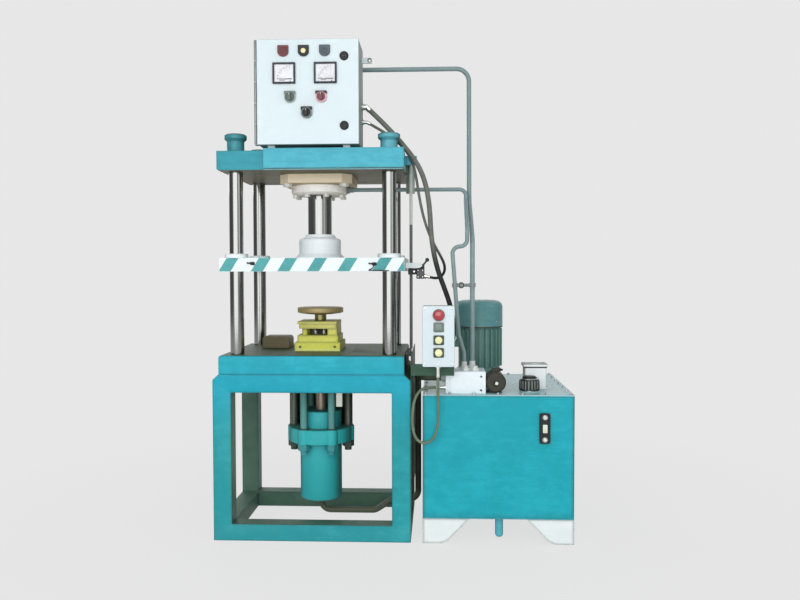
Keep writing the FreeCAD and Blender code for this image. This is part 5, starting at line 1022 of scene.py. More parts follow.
class PRESS_OT_meters(bpy.types.Operator):
    """Two panel meters: dark frame, white dial with a plain scale, clear cover and set screw"""

    bl_idname = "press.meters"
    bl_label = "Meters"

    def execute(self, context):
        low, high = node_box("panel_meters")
        rim = context.scene.press_sizes.meter_frame / MM
        for name, x in (("left", low.x + METER_WIDTH / 2), ("right", high.x - METER_WIDTH / 2)):
            self.meter(name, x, (low.z + high.z) / 2, low.y, METER_WIDTH / 2, (high.z - low.z) / 2, rim)
        return {"FINISHED"}

    def meter(self, name, x, z, front, half_x, half_z, rim):
        """The dark frame with its set screw, then the dial and the cover inside it."""
        left, low, right, high = x - half_x + rim, z - half_z + rim, x + half_x - rim, z + half_z - rim
        outer = rectangle(x - half_x, z - half_z, x + half_x, z + half_z, 2.5)
        inner = rectangle(left, low, right, high, 1.5)
        shape = Shape()
        shape.layers(((outer, -0.2), (outer, front + 1.2), (outer, front), (inner, front + 1.4),
                      (inner, front + 7.0)), "meter_case")
        shape.face([shape.mesh.verts.new((a, -0.2, b)) for a, b in outer], "meter_case")
        shape.lathe([(0, 0.0), (2.2, 0.0), (2.6, 0.5), (2.6, 2.4)], (x + METER_PIVOT[0], front + 4.8, low + 2.8),
                    "black_moulding", axis="y", segments=20)
        shape.piece(f"meter_case_{name}", "door", "black_plastic", ("panel_meters",), bevel=0.5)
        self.dial(name, x, z, front + 5.6, half_x - rim, half_z - rim)
        cover = Shape()
        cover.block((left, front + 2.0, low), (right, front + 2.9, high), "clear_cover", radius=1.4, axis="y")
        cover.piece(f"meter_cover_{name}", "door", "black_plastic")

    def dial(self, name, x, z, face, half_x, half_z):
        """White plate with a quarter scale about the needle's pivot and plain numbers."""
        pivot = (x + METER_PIVOT[0], z + METER_PIVOT[1])
        start, sweep = math.radians(92.0), math.radians(86.0)

        def on_dial(share, radius):
            angle = start + sweep * (1.0 - share)
            return Vector((pivot[0] + math.cos(angle) * radius, pivot[1] + math.sin(angle) * radius))

        shape = Shape()
        shape.block((x - half_x, face, z - half_z), (x + half_x, face + 1.2, z + half_z), "dial_white")
        for i in range(31):
            near, far, wide = (50.0, 57.5, 0.55) if i % 5 == 0 else (53.0, 56.0, 0.25)
            inner, outer = on_dial(i / 30, near), on_dial(i / 30, far)
            side = (outer - inner).orthogonal().normalized() * wide
            shape.prism([inner + side, outer + side, outer - side, inner - side], "y", face - 0.12, face + 0.05,
                        "print_grey")
        arcs = [[Vector((a, face - 0.1, b)) for a, b in around(r, 40, pivot, start, sweep)] for r in (50.0, 49.5)]
        shape.rows(arcs, "print_grey", closed_row=False)
        shape.block((x - 20.0, face - 0.1, z - half_z + 6.0), (x + 4.0, face + 0.05, z - half_z + 8.4),
                    "print_grey")
        shape.piece(f"meter_dial_{name}", "door", "black_plastic", angle=20.0)
        for i in range(4):
            at = on_dial(i / 3, 43.0)
            self.number(f"meter_number_{name}_{i}", str(i * 2), at.x, at.y + (2.0 if i == 0 else 0.0), face - 0.12)

    def number(self, name, text, x, z, y):
        """A plain printed number, made into a mesh."""
        letter = bpy.data.curves.new(name, "FONT")
        letter.body = text
        letter.size = 7.5 * MM
        letter.align_x = letter.align_y = "CENTER"
        letter.extrude = 0.05 * MM
        letter.resolution_u = 3
        data = evaluated(bpy.data.objects.new(name, letter))
        bpy.data.curves.remove(letter)
        data.transform(Matrix.Translation(PLACE @ Vector((x, y, z))) @ Matrix.Rotation(math.pi / 2, 4, "X"))
        data.materials.clear()
        dressed(name, data, ["print_grey"], "door")


class PRESS_OT_selectors(bpy.types.Operator):
    """Three rotary switches: shield bezels on the door and a grip on each shaft"""

    bl_idname = "press.selectors"
    bl_label = "Selectors"

    def execute(self, context):
        side = context.scene.press_sizes.bezel_side / MM
        for name, plate, cap, ring, grip in (
                ("left", "grey_moulding", "bezel_grey", "bezel_grey", "selector_grey"),
                ("right", "selector_pink", "black_moulding", "selector_pink", "selector_red"),
                ("lower", "black_moulding", "black_moulding", "grey_moulding", "black_moulding")):
            low, high = node_box("selector_" + name)
            x, z = (low.x + high.x) / 2, low.z + 17.0
            self.bezel(name, x, z, side, plate, cap, ring)
            self.grip(name, x, z, low.y, grip)
        return {"FINISHED"}

    def bezel(self, name, x, z, side, plate, cap, ring):
        shape = Shape()
        shape.prism(moved(shield(side, 0.4), x, z), "y", -9.2, 0.0, plate)
        shape.prism(moved(shield(side, -1.2), x, z), "y", -10.4, -9.2, plate)
        half = side / 2 + 0.8
        brow = softened([(-half, half), (-half, half - 15.0), (-half + 9.0, half - 9.5), (half - 9.0, half - 9.5),
                         (half, half - 15.0), (half, half)], 3.0)
        shape.prism(moved(brow, x, z), "y", -12.0, 0.0, cap)
        shape.lathe([(17.6, -10.2), (17.8, -12.2), (18.6, -12.6), (20.2, -12.4), (20.6, -10.2)], (x, 0.0, z), ring,
                    axis="y")
        shape.piece(f"selector_bezel_{name}", "door", "black_plastic", bevel=0.6)

    def grip(self, name, x, z, front, finish):
        """Round boss with a lever across it that narrows to its pointer."""
        shape = Shape()
        shape.lathe([(0, -10.5), (16.6, -10.5), (16.8, -14.0), (15.6, -16.4), (0, -17.0)], (x, 0.0, z), finish,
                    axis="y")
        lever = softened([(-7.0, -17.0), (7.0, -17.0), (7.4, 4.0), (3.2, 18.0), (-3.2, 18.0), (-7.4, 4.0)], 3.0)
        layers = [([(x + a * share, z + b * (0.6 + 0.4 * share)) for a, b in lever], y) for share, y in
                  ((1.06, -16.0), (1.0, -20.0), (0.92, front + 1.6), (0.82, front + 0.3), (0.6, front))]
        shape.close(shape.layers(layers, finish), finish)
        shape.block((x - 0.9, front - 0.1, z + 5.0), (x + 0.9, front + 0.6, z + 14.0), "dial_white")
        shape.piece(f"selector_grip_{name}", f"selector_{name}_body", "black_plastic", ("selector_" + name,),
                    bevel=0.5)


class PRESS_OT_locks(bpy.types.Operator):
    """Two quarter-turn locks with a raised ring and a double-bit key slot"""

    bl_idname = "press.locks"
    bl_label = "Door Locks"

    def execute(self, context):
        for name in ("upper", "lower"):
            low, high = node_box("door_lock_" + name)
            r = (high.x - low.x) / 2
            x, z = low.x + r, low.z + r
            shape = Shape()
            shape.lathe([(0, -3.0), (7.2, -3.0), (7.6, -5.2), (9.4, -5.8), (12.0, -5.2), (13.6, -4.4),
                         (r - 1.0, -3.6),
                         (r, -2.4), (r, -0.2), (0, -0.2)], (x, 0.0, z), "lock_black", axis="y", segments=56)
            shape.lathe([(0, -5.4), (2.6, -5.4), (3.0, -5.0), (3.0, -2.8)], (x, 0.0, z), "slate_moulding",
                        axis="y", segments=24)
            shape.block((x - 6.4, -4.6, z - 1.2), (x + 6.4, -2.8, z + 1.2), "slate_moulding")
            shape.piece(f"lock_face_{name}", f"lock_{name}_body", "black_plastic", bevel=0.3)
        return {"FINISHED"}


# ---------------------------------------------------------------- rounded bodies
ROUNDED = {
    "base_frame": 3.0, "bed_plate": 4.0, "crosshead": 3.0, "cylinder_flange": 2.5, "moving_platen": 1.6,
    "tank_body": 2.5, "tank_lid": 1.2, "side_guard": 0.8, "die_base": 1.6, "die_upper_shoe": 1.4,
    "spacer_block": 3.0, "ram_hub": 2.0, "gland_flange": 1.6, "ejector_cylinder": 2.5, "cap_nuts": 1.5,
    "valve_manifold": 1.2, "bell_housing": 1.5, "limit_switch": 1.2, "limit_rod": 1.0, "tank_legs": 0.8,
}


class PRESS_OT_rounded_bodies(bpy.types.Operator):
    """Give the plates, frames and castings the small edge radii that catch the light"""

    bl_idname = "press.rounded_bodies"
    bl_label = "Rounded Bodies"

    def execute(self, context):
        for node, radius in ROUNDED.items():
            rounded_copy(node, radius)
        return {"FINISHED"}


# ---------------------------------------------------------------- screws
def screw_tree():
    """Node tree that sets a screw with its washer on each point, turned at random about its axis."""
    group = bpy.data.node_groups.new("press_screws", "GeometryNodeTree")
    for name, kind, value in (("Points", "Geometry", None), ("Head Width", "Float", 0.013),
                              ("Head Height", "Float", 0.006), ("Washer Width", "Float", 0.018),
                              ("Washer Height", "Float", 0.0016), ("Sides", "Int", 6),
                              ("Axis", "Vector", (0.0, 0.0, 1.0)), ("Seed", "Int", 1), ("Finish", "Material",
                                                                                        None)):
        socket = group.interface.new_socket(name=name, in_out="INPUT", socket_type="NodeSocket" + kind)
        if value is not None:
            socket.default_value = value
    group.interface.new_socket(name="Screws", in_out="OUTPUT", socket_type="NodeSocketGeometry")
    tree = Nodes(group)
    given = tree.add("NodeGroupInput").outputs
    base, sides = given["Washer Height"], given["Sides"]

    def raised(shape, height):
        offset = tree.add("ShaderNodeCombineXYZ", {"Z": height})
        return tree.add("GeometryNodeTransform", {"Geometry": shape, "Translation": offset.outputs[0]}).outputs[0]

    radius = tree.maths("MULTIPLY", given["Head Width"], 0.5)
    tall = tree.maths("MULTIPLY", given["Head Height"], 0.8)
    shank = tree.add("GeometryNodeMeshCylinder", {"Vertices": sides, "Radius": radius, "Depth": tall})
    crown = tree.add("GeometryNodeMeshCone", {
        "Vertices": sides, "Radius Top": tree.maths("MULTIPLY", radius, 0.82), "Radius Bottom": radius,
        "Depth": tree.maths("MULTIPLY", given["Head Height"], 0.2)})
    washer = tree.add("GeometryNodeMeshCylinder", {
        "Vertices": 20, "Radius": tree.maths("MULTIPLY", given["Washer Width"], 0.5), "Depth": base})
    join = tree.add("GeometryNodeJoinGeometry")
    for part, height in ((washer, tree.maths("MULTIPLY", base, 0.5)),
                         (shank, tree.maths("ADD", base, tree.maths("MULTIPLY", tall, 0.5))),
                         (crown, tree.maths("ADD", base, tall))):
        tree.put(join.inputs[0], raised(part.outputs["Mesh"], height))
    align = tree.add("FunctionNodeAlignRotationToVector", {"Vector": given["Axis"]}, axis="Z")
    draw = tree.add("FunctionNodeRandomValue", {"Max": math.tau, "Seed": given["Seed"]}, data_type="FLOAT")
    spin = tree.add("FunctionNodeAxisAngleToRotation", {"Axis": (0.0, 0.0, 1.0), "Angle": draw.outputs["Value"]})
    turn = tree.add("FunctionNodeRotateRotation", {0: align.outputs[0], 1: spin.outputs[0]},
                    rotation_space="LOCAL")
    place = tree.add("GeometryNodeInstanceOnPoints", {
        "Points": given["Points"], "Instance": join.outputs[0], "Rotation": turn.outputs[0]})
    real = tree.add("GeometryNodeRealizeInstances", {0: place.outputs[0]})
    paint = tree.add("GeometryNodeSetMaterial", {"Geometry": real.outputs[0], "Material": given["Finish"]})
    tree.add("NodeGroupOutput", {0: paint.outputs[0]})
    return group


def screws(name, places, axis, width, height, washer=0.0, sides=6, seed=1, finish="bright_screw"):
    """Screws of one size in a row or ring, made by the node tree and kept as a plain mesh."""
    tree = bpy.data.node_groups.get("press_screws") or screw_tree()
    points = bpy.data.meshes.new(name)
    points.from_pydata([PLACE @ Vector(p) for p in places], [], [])
    carrier = bpy.data.objects.new(name, points)
    made_by = carrier.modifiers.new("screws", "NODES")
    made_by.node_group = tree
    values = {"Head Width": width * MM, "Head Height": height * MM, "Washer Width": washer * MM,
              "Washer Height": 0.0016 if washer > width else 0.0001, "Sides": sides, "Axis": axis, "Seed": seed,
              "Finish": bpy.data.materials[finish]}
    for socket in tree.interface.items_tree:
        if socket.in_out == "INPUT" and socket.name in values:
            made_by[socket.identifier] = values[socket.name]
    made = evaluated(carrier)
    bpy.data.meshes.remove(points)
    made.materials.clear()
    for polygon in made.polygons:
        polygon.material_index = 0
    dressed(name, made, [finish], "press")


class PRESS_OT_screws(bpy.types.Operator):
    """Screws of the tank lid, the covers and the flanges, set by one node tree"""

    bl_idname = "press.screws"
    bl_label = "Screws"

    def execute(self, context):
        screws("lid_screws", self.lid_places(), UPWARD, 13.0, 5.6, 18.0)
        middle = middle_of("bell_housing")
        ring = [(a, b, BELL_TOP + MOTOR_FLANGE) for a, b in around(94.0, 4, middle, math.radians(45))]
        screws("motor_flange_screws", ring, UPWARD, 16.0, 8.0, 20.0, seed=2)
        for i, (a, b) in enumerate(around(109.2, 4, middle, math.radians(45))):
            away = (a - middle.x, b - middle.y, 0.0)
            screws(f"cowl_screw_{i + 1}", [(a, b, COWL_LOW + 22)], away, 8.0, 0.9, sides=16, seed=3)
        low, high = node_box("return_filter")
        places = [(x, y, high.z - 3.0) for x in (low.x + 11, high.x - 11) for y in (low.y + 11, high.y - 11)]
        screws("filter_screws", places, UPWARD, 8.0, 2.6, seed=4)
        low, high = node_box("valve_manifold")
        places = [(x, low.y + 1.0, z) for x in (low.x + 14, low.x + 150) for z in (low.z + 14, low.z + 72)]
        screws("manifold_screws", places, FORWARD, 11.0, 0.9, sides=20, seed=5, finish="manifold_zinc")
        return {"FINISHED"}

    def lid_places(self):
        """Round the rim of the lid, about a hand apart."""
        low, high = node_box("tank_lid")
        inset = 14.0
        xs = [low.x + inset + (high.x - low.x - 2 * inset) * i / 6 for i in range(7)]
        ys = [low.y + inset + (high.y - low.y - 2 * inset) * i / 6 for i in range(1, 6)]
        return ([(x, y, LID_TOP) for x in xs for y in (low.y + inset, high.y - inset)]
                + [(x, y, LID_TOP) for x in (low.x + inset, high.x - inset) for y in ys])


# ---------------------------------------------------------------- welds
class PRESS_OT_welds(bpy.types.Operator):
    """Weld beads along the joints of the frame, the tank and its legs"""

    bl_idname = "press.welds"
    bl_label = "Weld Beads"

    def execute(self, context):
        low, high = node_box("base_frame")
        frame_beads = Shape()
        seed = 0
        for side in (-1, 1):
            inner = side * (high.x - LEG_WIDTH)
            for y in (low.y, high.y - LEG_WIDTH):
                for z in (SILL_TOP, high.z - HEAD_DEPTH):
                    seed += 1
                    frame_beads.bead((inner, y + 3, z), (inner, y + LEG_WIDTH - 3, z), 2.4, "weld", seed)
        frame_beads.piece("frame_welds", "press", "teal_paint", angle=60.0)
        low, high = node_box("bed_plate")
        seam = Shape()
        for side in (-1, 1):
            seed += 1
            seam.bead((side * (high.x - 1), low.y + 12, low.z), (side * (high.x - 1), high.y - 12, low.z), 2.6,
                      "weld", seed)
        seam.piece("bed_welds", "press", "teal_paint", angle=60.0)
        low, high = node_box("tank_body")
        tank = Shape()
        for x in (low.x + 2.3, high.x - 2.3):
            seed += 1
            tank.bead((x, high.y - 2.3, TANK_FOOT + 6), (x, high.y - 2.3, LID_TOP - 12), 1.8, "weld", seed)
        for x in (low.x + 30, high.x - 30):
            seed += 1
            tank.bead((x, 60.0, TANK_FOOT - 1), (x, high.y - 60, TANK_FOOT - 1), 1.8, "weld", seed)
        tank.piece("tank_welds", "press", "teal_paint", angle=60.0)
        return {"FINISHED"}


# ---------------------------------------------------------------- tank fittings
class PRESS_OT_level_gauge(bpy.types.Operator):
    """Oil level gauge: black body, white sight window with its oil line, two capped bolts"""

    bl_idname = "press.level_gauge"
    bl_label = "Level Gauge"

    def execute(self, context):
        low, high = node_box("level_gauge")
        x = (low.x + high.x) / 2
        front = low.y
        shape = Shape()
        outer = rectangle(low.x, low.z, high.x, high.z, 9.0)
        inner = rectangle(low.x + 3, low.z + 3, high.x - 3, high.z - 3, 7.0)
        layers = ((outer, 0.0), (outer, front + 8.5), (inner, front + 6.0))
        shape.close(shape.layers(layers, "gauge_black"), "gauge_black")
        middle = (low.z + high.z) / 2
        shape.block((x - 12.5, front + 3.4, middle - 21), (x + 12.5, front + 7.0, middle + 21), "gauge_black",
                    radius=4, axis="y")
        shape.block((x - 9.5, front + 2.6, middle - 17.5), (x + 9.5, front + 3.6, middle + 17.5), "sight_white",
                    radius=3, axis="y")
        shape.block((x - 8.6, front + 2.3, middle - 16.6), (x + 8.6, front + 2.7, middle - 1.0), "sight_oil",
                    radius=2, axis="y")
        for z in (low.z + 17.0, high.z - 17.0):
            shape.lathe([(0, 0.2), (4.0, 0.2), (7.4, 1.6), (8.6, 4.2), (8.6, 6.4)], (x, front, z), "sight_white",
                        axis="y", segments=6)
            shape.lathe([(8.8, 5.4), (10.6, 5.4), (11.0, 6.4)], (x, front, z), "fitting_steel", axis="y",
                        segments=28)
        shape.piece("level_gauge_body", "press", "black_plastic", ("level_gauge",), bevel=0.6)
        return {"FINISHED"}


class PRESS_OT_filler_cap(bpy.types.Operator):
    """Fluted breather cap with its domed crown and the clip ring round its neck"""

    bl_idname = "press.filler_cap"
    bl_label = "Filler Cap"

    def execute(self, context):
        low, high = node_box("filler_cap")
        centre = Vector(((low.x + high.x) / 2, (low.y + high.y) / 2, 0.0))
        r = (high.x - low.x) / 2
        shape = Shape()
        count, flutes = 120, 20
        rows = []
        for share, z, depth in ((0.86, low.z + 0.2, 0.0), (0.99, low.z + 0.6, 0.4), (1.0, low.z + 3, 1.0),
                                (1.0, high.z - 26, 1.0), (0.97, high.z - 20, 0.5), (0.90, high.z - 17, 0.0),
                                (0.74, high.z - 16, 0.0), (0.70, high.z - 13, 0.0), (0.66, high.z - 6, 0.0),
                                (0.56, high.z - 1.6, 0.0), (0.34, high.z - 0.3, 0.0)):
            row = []
            for i in range(count):
                angle = math.tau * i / count
                reach = r * share - 2.6 * depth * (0.5 - 0.5 * math.cos(angle * flutes))
                row.append(centre + Vector((reach * math.cos(angle), reach * math.sin(angle), z)))
            rows.append(row)
        shape.close(shape.rows(rows, "gauge_black"), "gauge_black")
        for angle in (math.tau * (i + 0.5) / flutes for i in range(flutes)):
            way = Vector((math.cos(angle), math.sin(angle), 0)) * r * 0.97
            side = Vector((-math.sin(angle), math.cos(angle), 0)) * 1.5
            rib = [Vector((centre.x, centre.y, z)) + way + side * a for a, z in
                   ((-1, low.z + 6.0), (1, low.z + 6.0), (1, high.z - 20.0), (-1, high.z - 20.0))]
            grid = shape.rows([[v - way * 0.06 for v in rib], rib], "grey_moulding")
            shape.face(grid[-1], "grey_moulding")
        shape.lathe([(r * 0.71, 0), (r * 0.78, 0.4), (r * 0.79, 3.4), (r * 0.72, 4.2)],
                    (centre.x, centre.y, high.z - 15.8), "fitting_steel", segments=56)
        top = centre + Vector((0, 0, high.z - 0.25))
        fall = Vector((0, 0, 0.9))
        for i in range(10):
            angle = math.tau * i / 10
            way = Vector((math.cos(angle), math.sin(angle), 0))
            side = Vector((-math.sin(angle), math.cos(angle), 0)) * 1.3
            inner, outer = top + way * r * 0.30, top + way * r * 0.49 - fall
            corners = (inner + side, inner - side, outer - side, outer + side)
            shape.face([shape.mesh.verts.new(corner) for corner in corners], "dark_cavity")
        shape.piece("filler_cap_fluted", body_of("filler_cap"), "black_plastic", ("filler_cap",), angle=40.0)
        clip = Shape()
        neck = (centre.x, centre.y, LID_TOP)
        clip.lathe([(33.0, 0.0), (40.0, 0.2), (41.0, 1.6), (40.2, 3.0), (33.4, 3.4), (33.4, 7.0), (31.2, 7.0)],
                   neck, "fitting_steel", segments=56)
        clip.piece("filler_flange", "press", "nickel")
        ring = [(a, b, LID_TOP + 1.0) for a, b in around(43.4, 6, centre, math.radians(30))]
        screws("filler_flange_screws", ring, UPWARD, 6.0, 2.0, sides=16, seed=6)
        return {"FINISHED"}


class PRESS_OT_return_filter(bpy.types.Operator):
    """Pale return filter: body, dark seal under its cover, cover with a raised middle"""

    bl_idname = "press.return_filter"
    bl_label = "Return Filter"

    def execute(self, context):
        low, high = node_box("return_filter")
        shape = Shape()
        x0, x1, y0, y1, z0, z1 = low.x, high.x, low.y, high.y, low.z, high.z
        shape.block((x0 + 3, y0 + 3, z0), (x1 - 3, y1 - 3, z0 + 8), "filter_enamel", radius=10)
        shape.block((x0 + 7, y0 + 7, z0 + 8), (x1 - 7, y1 - 7, z1 - 16), "filter_enamel", radius=12)
        shape.block((x0 + 4, y0 + 4, z1 - 18), (x1 - 4, y1 - 4, z1 - 12), "seal_rubber", radius=10)
        shape.block((x0, y0, z1 - 12), (x1, y1, z1 - 3), "filter_enamel", radius=12)
        shape.piece("return_filter_body", "press", "white_paint", ("return_filter",), bevel=1.6)
        x = (x0 + x1) / 2
        lid = Shape()
        lid.lathe([(0, -0.4), (18, -0.4), (22, -1.2), (24, -3.2)], (x, (y0 + y1) / 2, z1), "filter_enamel")
        lid.piece("return_filter_crown", "press", "white_paint")
        port = Shape()
        mouth = (x, y0 + 2.6, z0 + 44)
        port.lathe([(9.0, 0.0), (9.0, -2.5), (16.0, -2.5), (16.0, 7.0)], mouth, "fitting_steel", axis="y",
                   segments=6)
        # Painted shade: a dark disc in the plug's bore.
        port.lathe([(0, 0.5), (9.1, 0.5)], mouth, "dark_cavity", axis="y", segments=24)
        port.piece("return_filter_plug", "press", "nickel", bevel=0.6)
        return {"FINISHED"}


# ---------------------------------------------------------------- push-button station
class PRESS_OT_button_station(bpy.types.Operator):
    """Station box with its cover seam and screws, bezels, mushroom button and keys"""

    bl_idname = "press.button_station"
    bl_label = "Button Station"

    def execute(self, context):
        self.box()
        self.mushroom()
        for name, finish in (("upper", "key_green"), ("middle", "key_yellow"), ("lower", "key_yellow")):
            self.key(name, finish)
        return {"FINISHED"}

    def box(self):
        low, high = node_box("pendant_box")
        front, back = STATION_FRONT, high.y
        seam = front + 15.0
        shape = Shape()

        def outline(grow, radius=7.0):
            return rectangle(low.x - grow, low.z - grow, high.x + grow, high.z + grow, radius)

        steps = ((outline(0.0), back, "powder_coat"), (outline(0.0), seam + 1.0, "powder_coat"),
                 (outline(-1.6, 6.0), seam + 1.0, "seal_rubber"), (outline(-1.6, 6.0), seam - 1.0, "seal_rubber"),
                 (outline(0.0), seam - 1.0, "powder_coat"), (outline(0.0), front + 2.5, "powder_coat"),
                 (outline(-0.8), front + 0.8, "powder_coat"), (outline(-2.6, 6.0), front, "powder_coat"))
        grid = [[shape.mesh.verts.new((a, y, b)) for a, b in line] for line, y, _ in steps]
        for i in range(len(grid) - 1):
            finish = steps[i + 1][2] if steps[i + 1][2] == "seal_rubber" else steps[i][2]
            for k in range(len(grid[i])):
                j = (k + 1) % len(grid[i])
                shape.face([grid[i][k], grid[i][j], grid[i + 1][j], grid[i + 1][k]], finish)
        shape.close(grid, "powder_coat")
        for name in ("upper", "middle", "lower"):
            x, _, z = middle_of("push_button_" + name)
            outer = rectangle(x - 22, z - 20, x + 22, z + 20, 5.0)
            inner = rectangle(x - 18.4, z - 18.4, x + 18.4, z + 18.4, 3.0)
            shape.layers(((outer, front), (outer, front - 2.2), (outer, front - 2.2), (inner, front - 3.0),
                          (inner, front)), "bezel_grey" if name == "upper" else "bezel_olive")
        x, _, z = middle_of("estop_button")
        shape.lathe([(25.0, 0.2), (25.0, -1.0), (24.2, -1.7), (15.0, -1.8), (14.8, 0.2)], (x, front, z),
                    "dark_red", axis="y", segments=56)
        shape.piece("station_box", "press", "pale_paint", ("pendant_box",), bevel=0.5, angle=40.0)
        corners = [(px, front + 0.2, pz) for px in (low.x + 11, high.x - 11) for pz in (low.z + 11, high.z - 11)]
        corners.append((x, front + 0.2, low.z + 11))
        screws("station_screws", corners, FORWARD, 7.0, 1.4, sides=20, seed=7)

    def mushroom(self):
        low, high = node_box("estop_button")
        x, z = (low.x + high.x) / 2, (low.z + high.z) / 2
        r = (high.x - low.x) / 2
        top = low.y
        shape = Shape()
        shape.lathe([(0, 0), (r * 0.3, 0.35), (r * 0.6, 1.6), (r * 0.84, 4.0), (r * 0.97, 7.2), (r, 10.0),
                     (r * 0.985, 12.2), (r * 0.93, 13.6)], (x, top, z), "estop_red", axis="y", segments=64)
        shape.lathe([(r * 0.93, 13.5), (r * 0.58, 13.8), (r * 0.58, 29.5), (0, 29.5)], (x, top, z), "dark_red",
                    axis="y", segments=64)
        shape.piece("mushroom_head", body_of("estop_button"), "red_plastic", ("estop_button",), angle=50.0)

    def key(self, name, finish):
        low, high = node_box("push_button_" + name)
        x, z = (low.x + high.x) / 2, (low.z + high.z) / 2
        front = low.y
        shape = Shape()
        half = (high.x - low.x) / 2

        def square(size, radius):
            return rectangle(x - size, z - size, x + size, z + size, radius, steps=6)

        frame_finish = "bezel_grey" if name == "upper" else "bezel_olive"
        layers = ((square(half, 5.0), STATION_FRONT + 6.0), (square(half, 5.0), front + 5.5),
                  (square(half - 1.0, 5.0), front + 4.2))
        shape.close(shape.layers(layers, frame_finish), frame_finish)
        if name == "upper":
            layers = ((square(half - 4.0, 4.0), front + 4.6), (square(half - 4.0, 4.0), front + 1.4),
                      (square(half - 5.2, 4.0), front + 0.4), (square(half - 9.0, 4.0), front + 0.2))
            shape.face(shape.layers(layers, finish)[-1], finish)
        else:
            shape.lathe([(0, 0.0), (6, 0.2), (11.0, 1.0), (14.6, 2.4), (15.6, 4.6)], (x, front, z), finish,
                        axis="y", segments=48)
            shape.lathe([(15.6, 4.4), (15.8, 3.0), (16.8, 2.8), (17.3, 4.6)], (x, front, z), frame_finish,
                        axis="y", segments=48)
        shape.piece("key_" + name, body_of("push_button_" + name), slot_of("push_button_" + name),
                    ("push_button_" + name,), bevel=0.4, angle=40.0)


# ---------------------------------------------------------------- ejector
class PRESS_OT_ejector_trim(bpy.types.Operator):
    """Coats and joint rings of the ejector's studs, the sheet behind them and the stop under the bed"""

    bl_idname = "press.ejector_trim"
    bl_label = "Ejector Trim"

    def execute(self, context):
        under = node_box("base_frame")[1].z
        outer, inner = Shape(), Shape()
        for i, (x, y) in enumerate(around(STUD_CIRCLE, 6, STUD_MIDDLE)):
            # Painted shade: the two studs at the ejector's sides are darker steel, the inner ones teal.
            shape = outer if i in (0, 3) else inner
            shape.lathe([(16.2, 446.0), (16.35, 448.0), (16.35, under - 3.0), (16.2, under - 1.0)], (x, y, 0.0),
                        "stud_steel" if i in (0, 3) else "stud_enamel", segments=32)
            shape.lathe([(16.2, 446.2), (24.0, 446.4), (24.6, 449.0), (16.3, 450.2)], (x, y, 0.0), "stud_steel",
                        segments=32)
        outer.piece("outer_studs", "press", "dark_steel")
        inner.piece("inner_studs", "press", "dark_steel")
        stop = Shape()
        stop.block((83.0, 186.0, 548.0), (112.0, 202.0, under - 1.0), "pale_steel", radius=3.0)
        stop.piece("ejector_stop", "press", "bright_steel", bevel=1.5)
        sheet = Shape()
        arc = [math.pi * i / 48 for i in range(49)]
        wall = ((145.0, 447.0), (145.0, under - 1.0), (143.0, under - 1.0), (143.0, 447.0))
        plate = ((97.0, 445.3), (143.0, 445.3), (143.0, 447.4), (97.0, 447.4))
        for section in (wall, plate):
            rows = [[Vector((r * math.cos(a), STUD_MIDDLE[1] + r * math.sin(a), z)) for a in arc]
                    for r, z in section]
            grid = sheet.rows(rows, "shroud_enamel", closed_row=False, closed_rows=True)
            sheet.face([row[0] for row in grid], "shroud_enamel")
            sheet.face([row[-1] for row in grid][::-1], "shroud_enamel")
        sheet.piece("ejector_sheet", "press", "guard_paint", bevel=0.4)
        return {"FINISHED"}


# ---------------------------------------------------------------- motor and valves
class PRESS_OT_motor_trim(bpy.types.Operator):
    """Joint band of the fan cowl, and the lid of the terminal box with its seal and screws"""

    bl_idname = "press.motor_trim"
    bl_label = "Motor Trim"

    def execute(self, context):
        low, high = node_box("fan_cowl")
        x, y = (low.x + high.x) / 2, (low.y + high.y) / 2
        band = Shape()
        band.lathe([(109.4, -7.0), (110.3, -6.6), (110.3, -1.4), (109.2, -1.0), (109.2, 0.6), (110.4, 1.0)],
                   (x, y, COWL_LOW), "joint_dark", segments=96)
        band.piece("cowl_joint", "press", "motor_paint")
        low, high = node_box("motor_body")
        left, z0, z1 = low.x, TERMINAL_TOP - TERMINAL_HEIGHT, TERMINAL_TOP
        half = TERMINAL_HALF
        lid = Shape()
        lid.block((left + 6.0, y - half - 0.9, z0 + 5), (left + 51.0, y - half + 0.1, z1 - 5), "motor_enamel",
                  radius=5, axis="y")
        lid.block((left + 4.0, y - half + 5, z1 - 0.3), (left + 52.0, y + half - 5, z1 + 2.4), "motor_enamel",
                  radius=5)
        lid.block((left + 5.0, y - half + 6, z1 - 0.4), (left + 51.0, y + half - 6, z1 + 0.5), "seal_rubber",
                  radius=5)
        lid.piece("terminal_lid", "press", "motor_paint", bevel=0.8)
        corners = [(a, b, z1 + 2.2) for a in (left + 11, left + 45) for b in (y - half + 12, y + half - 12)]
        screws("terminal_screws", corners, UPWARD, 7.0, 1.6, sides=20, seed=8)
        return {"FINISHED"}


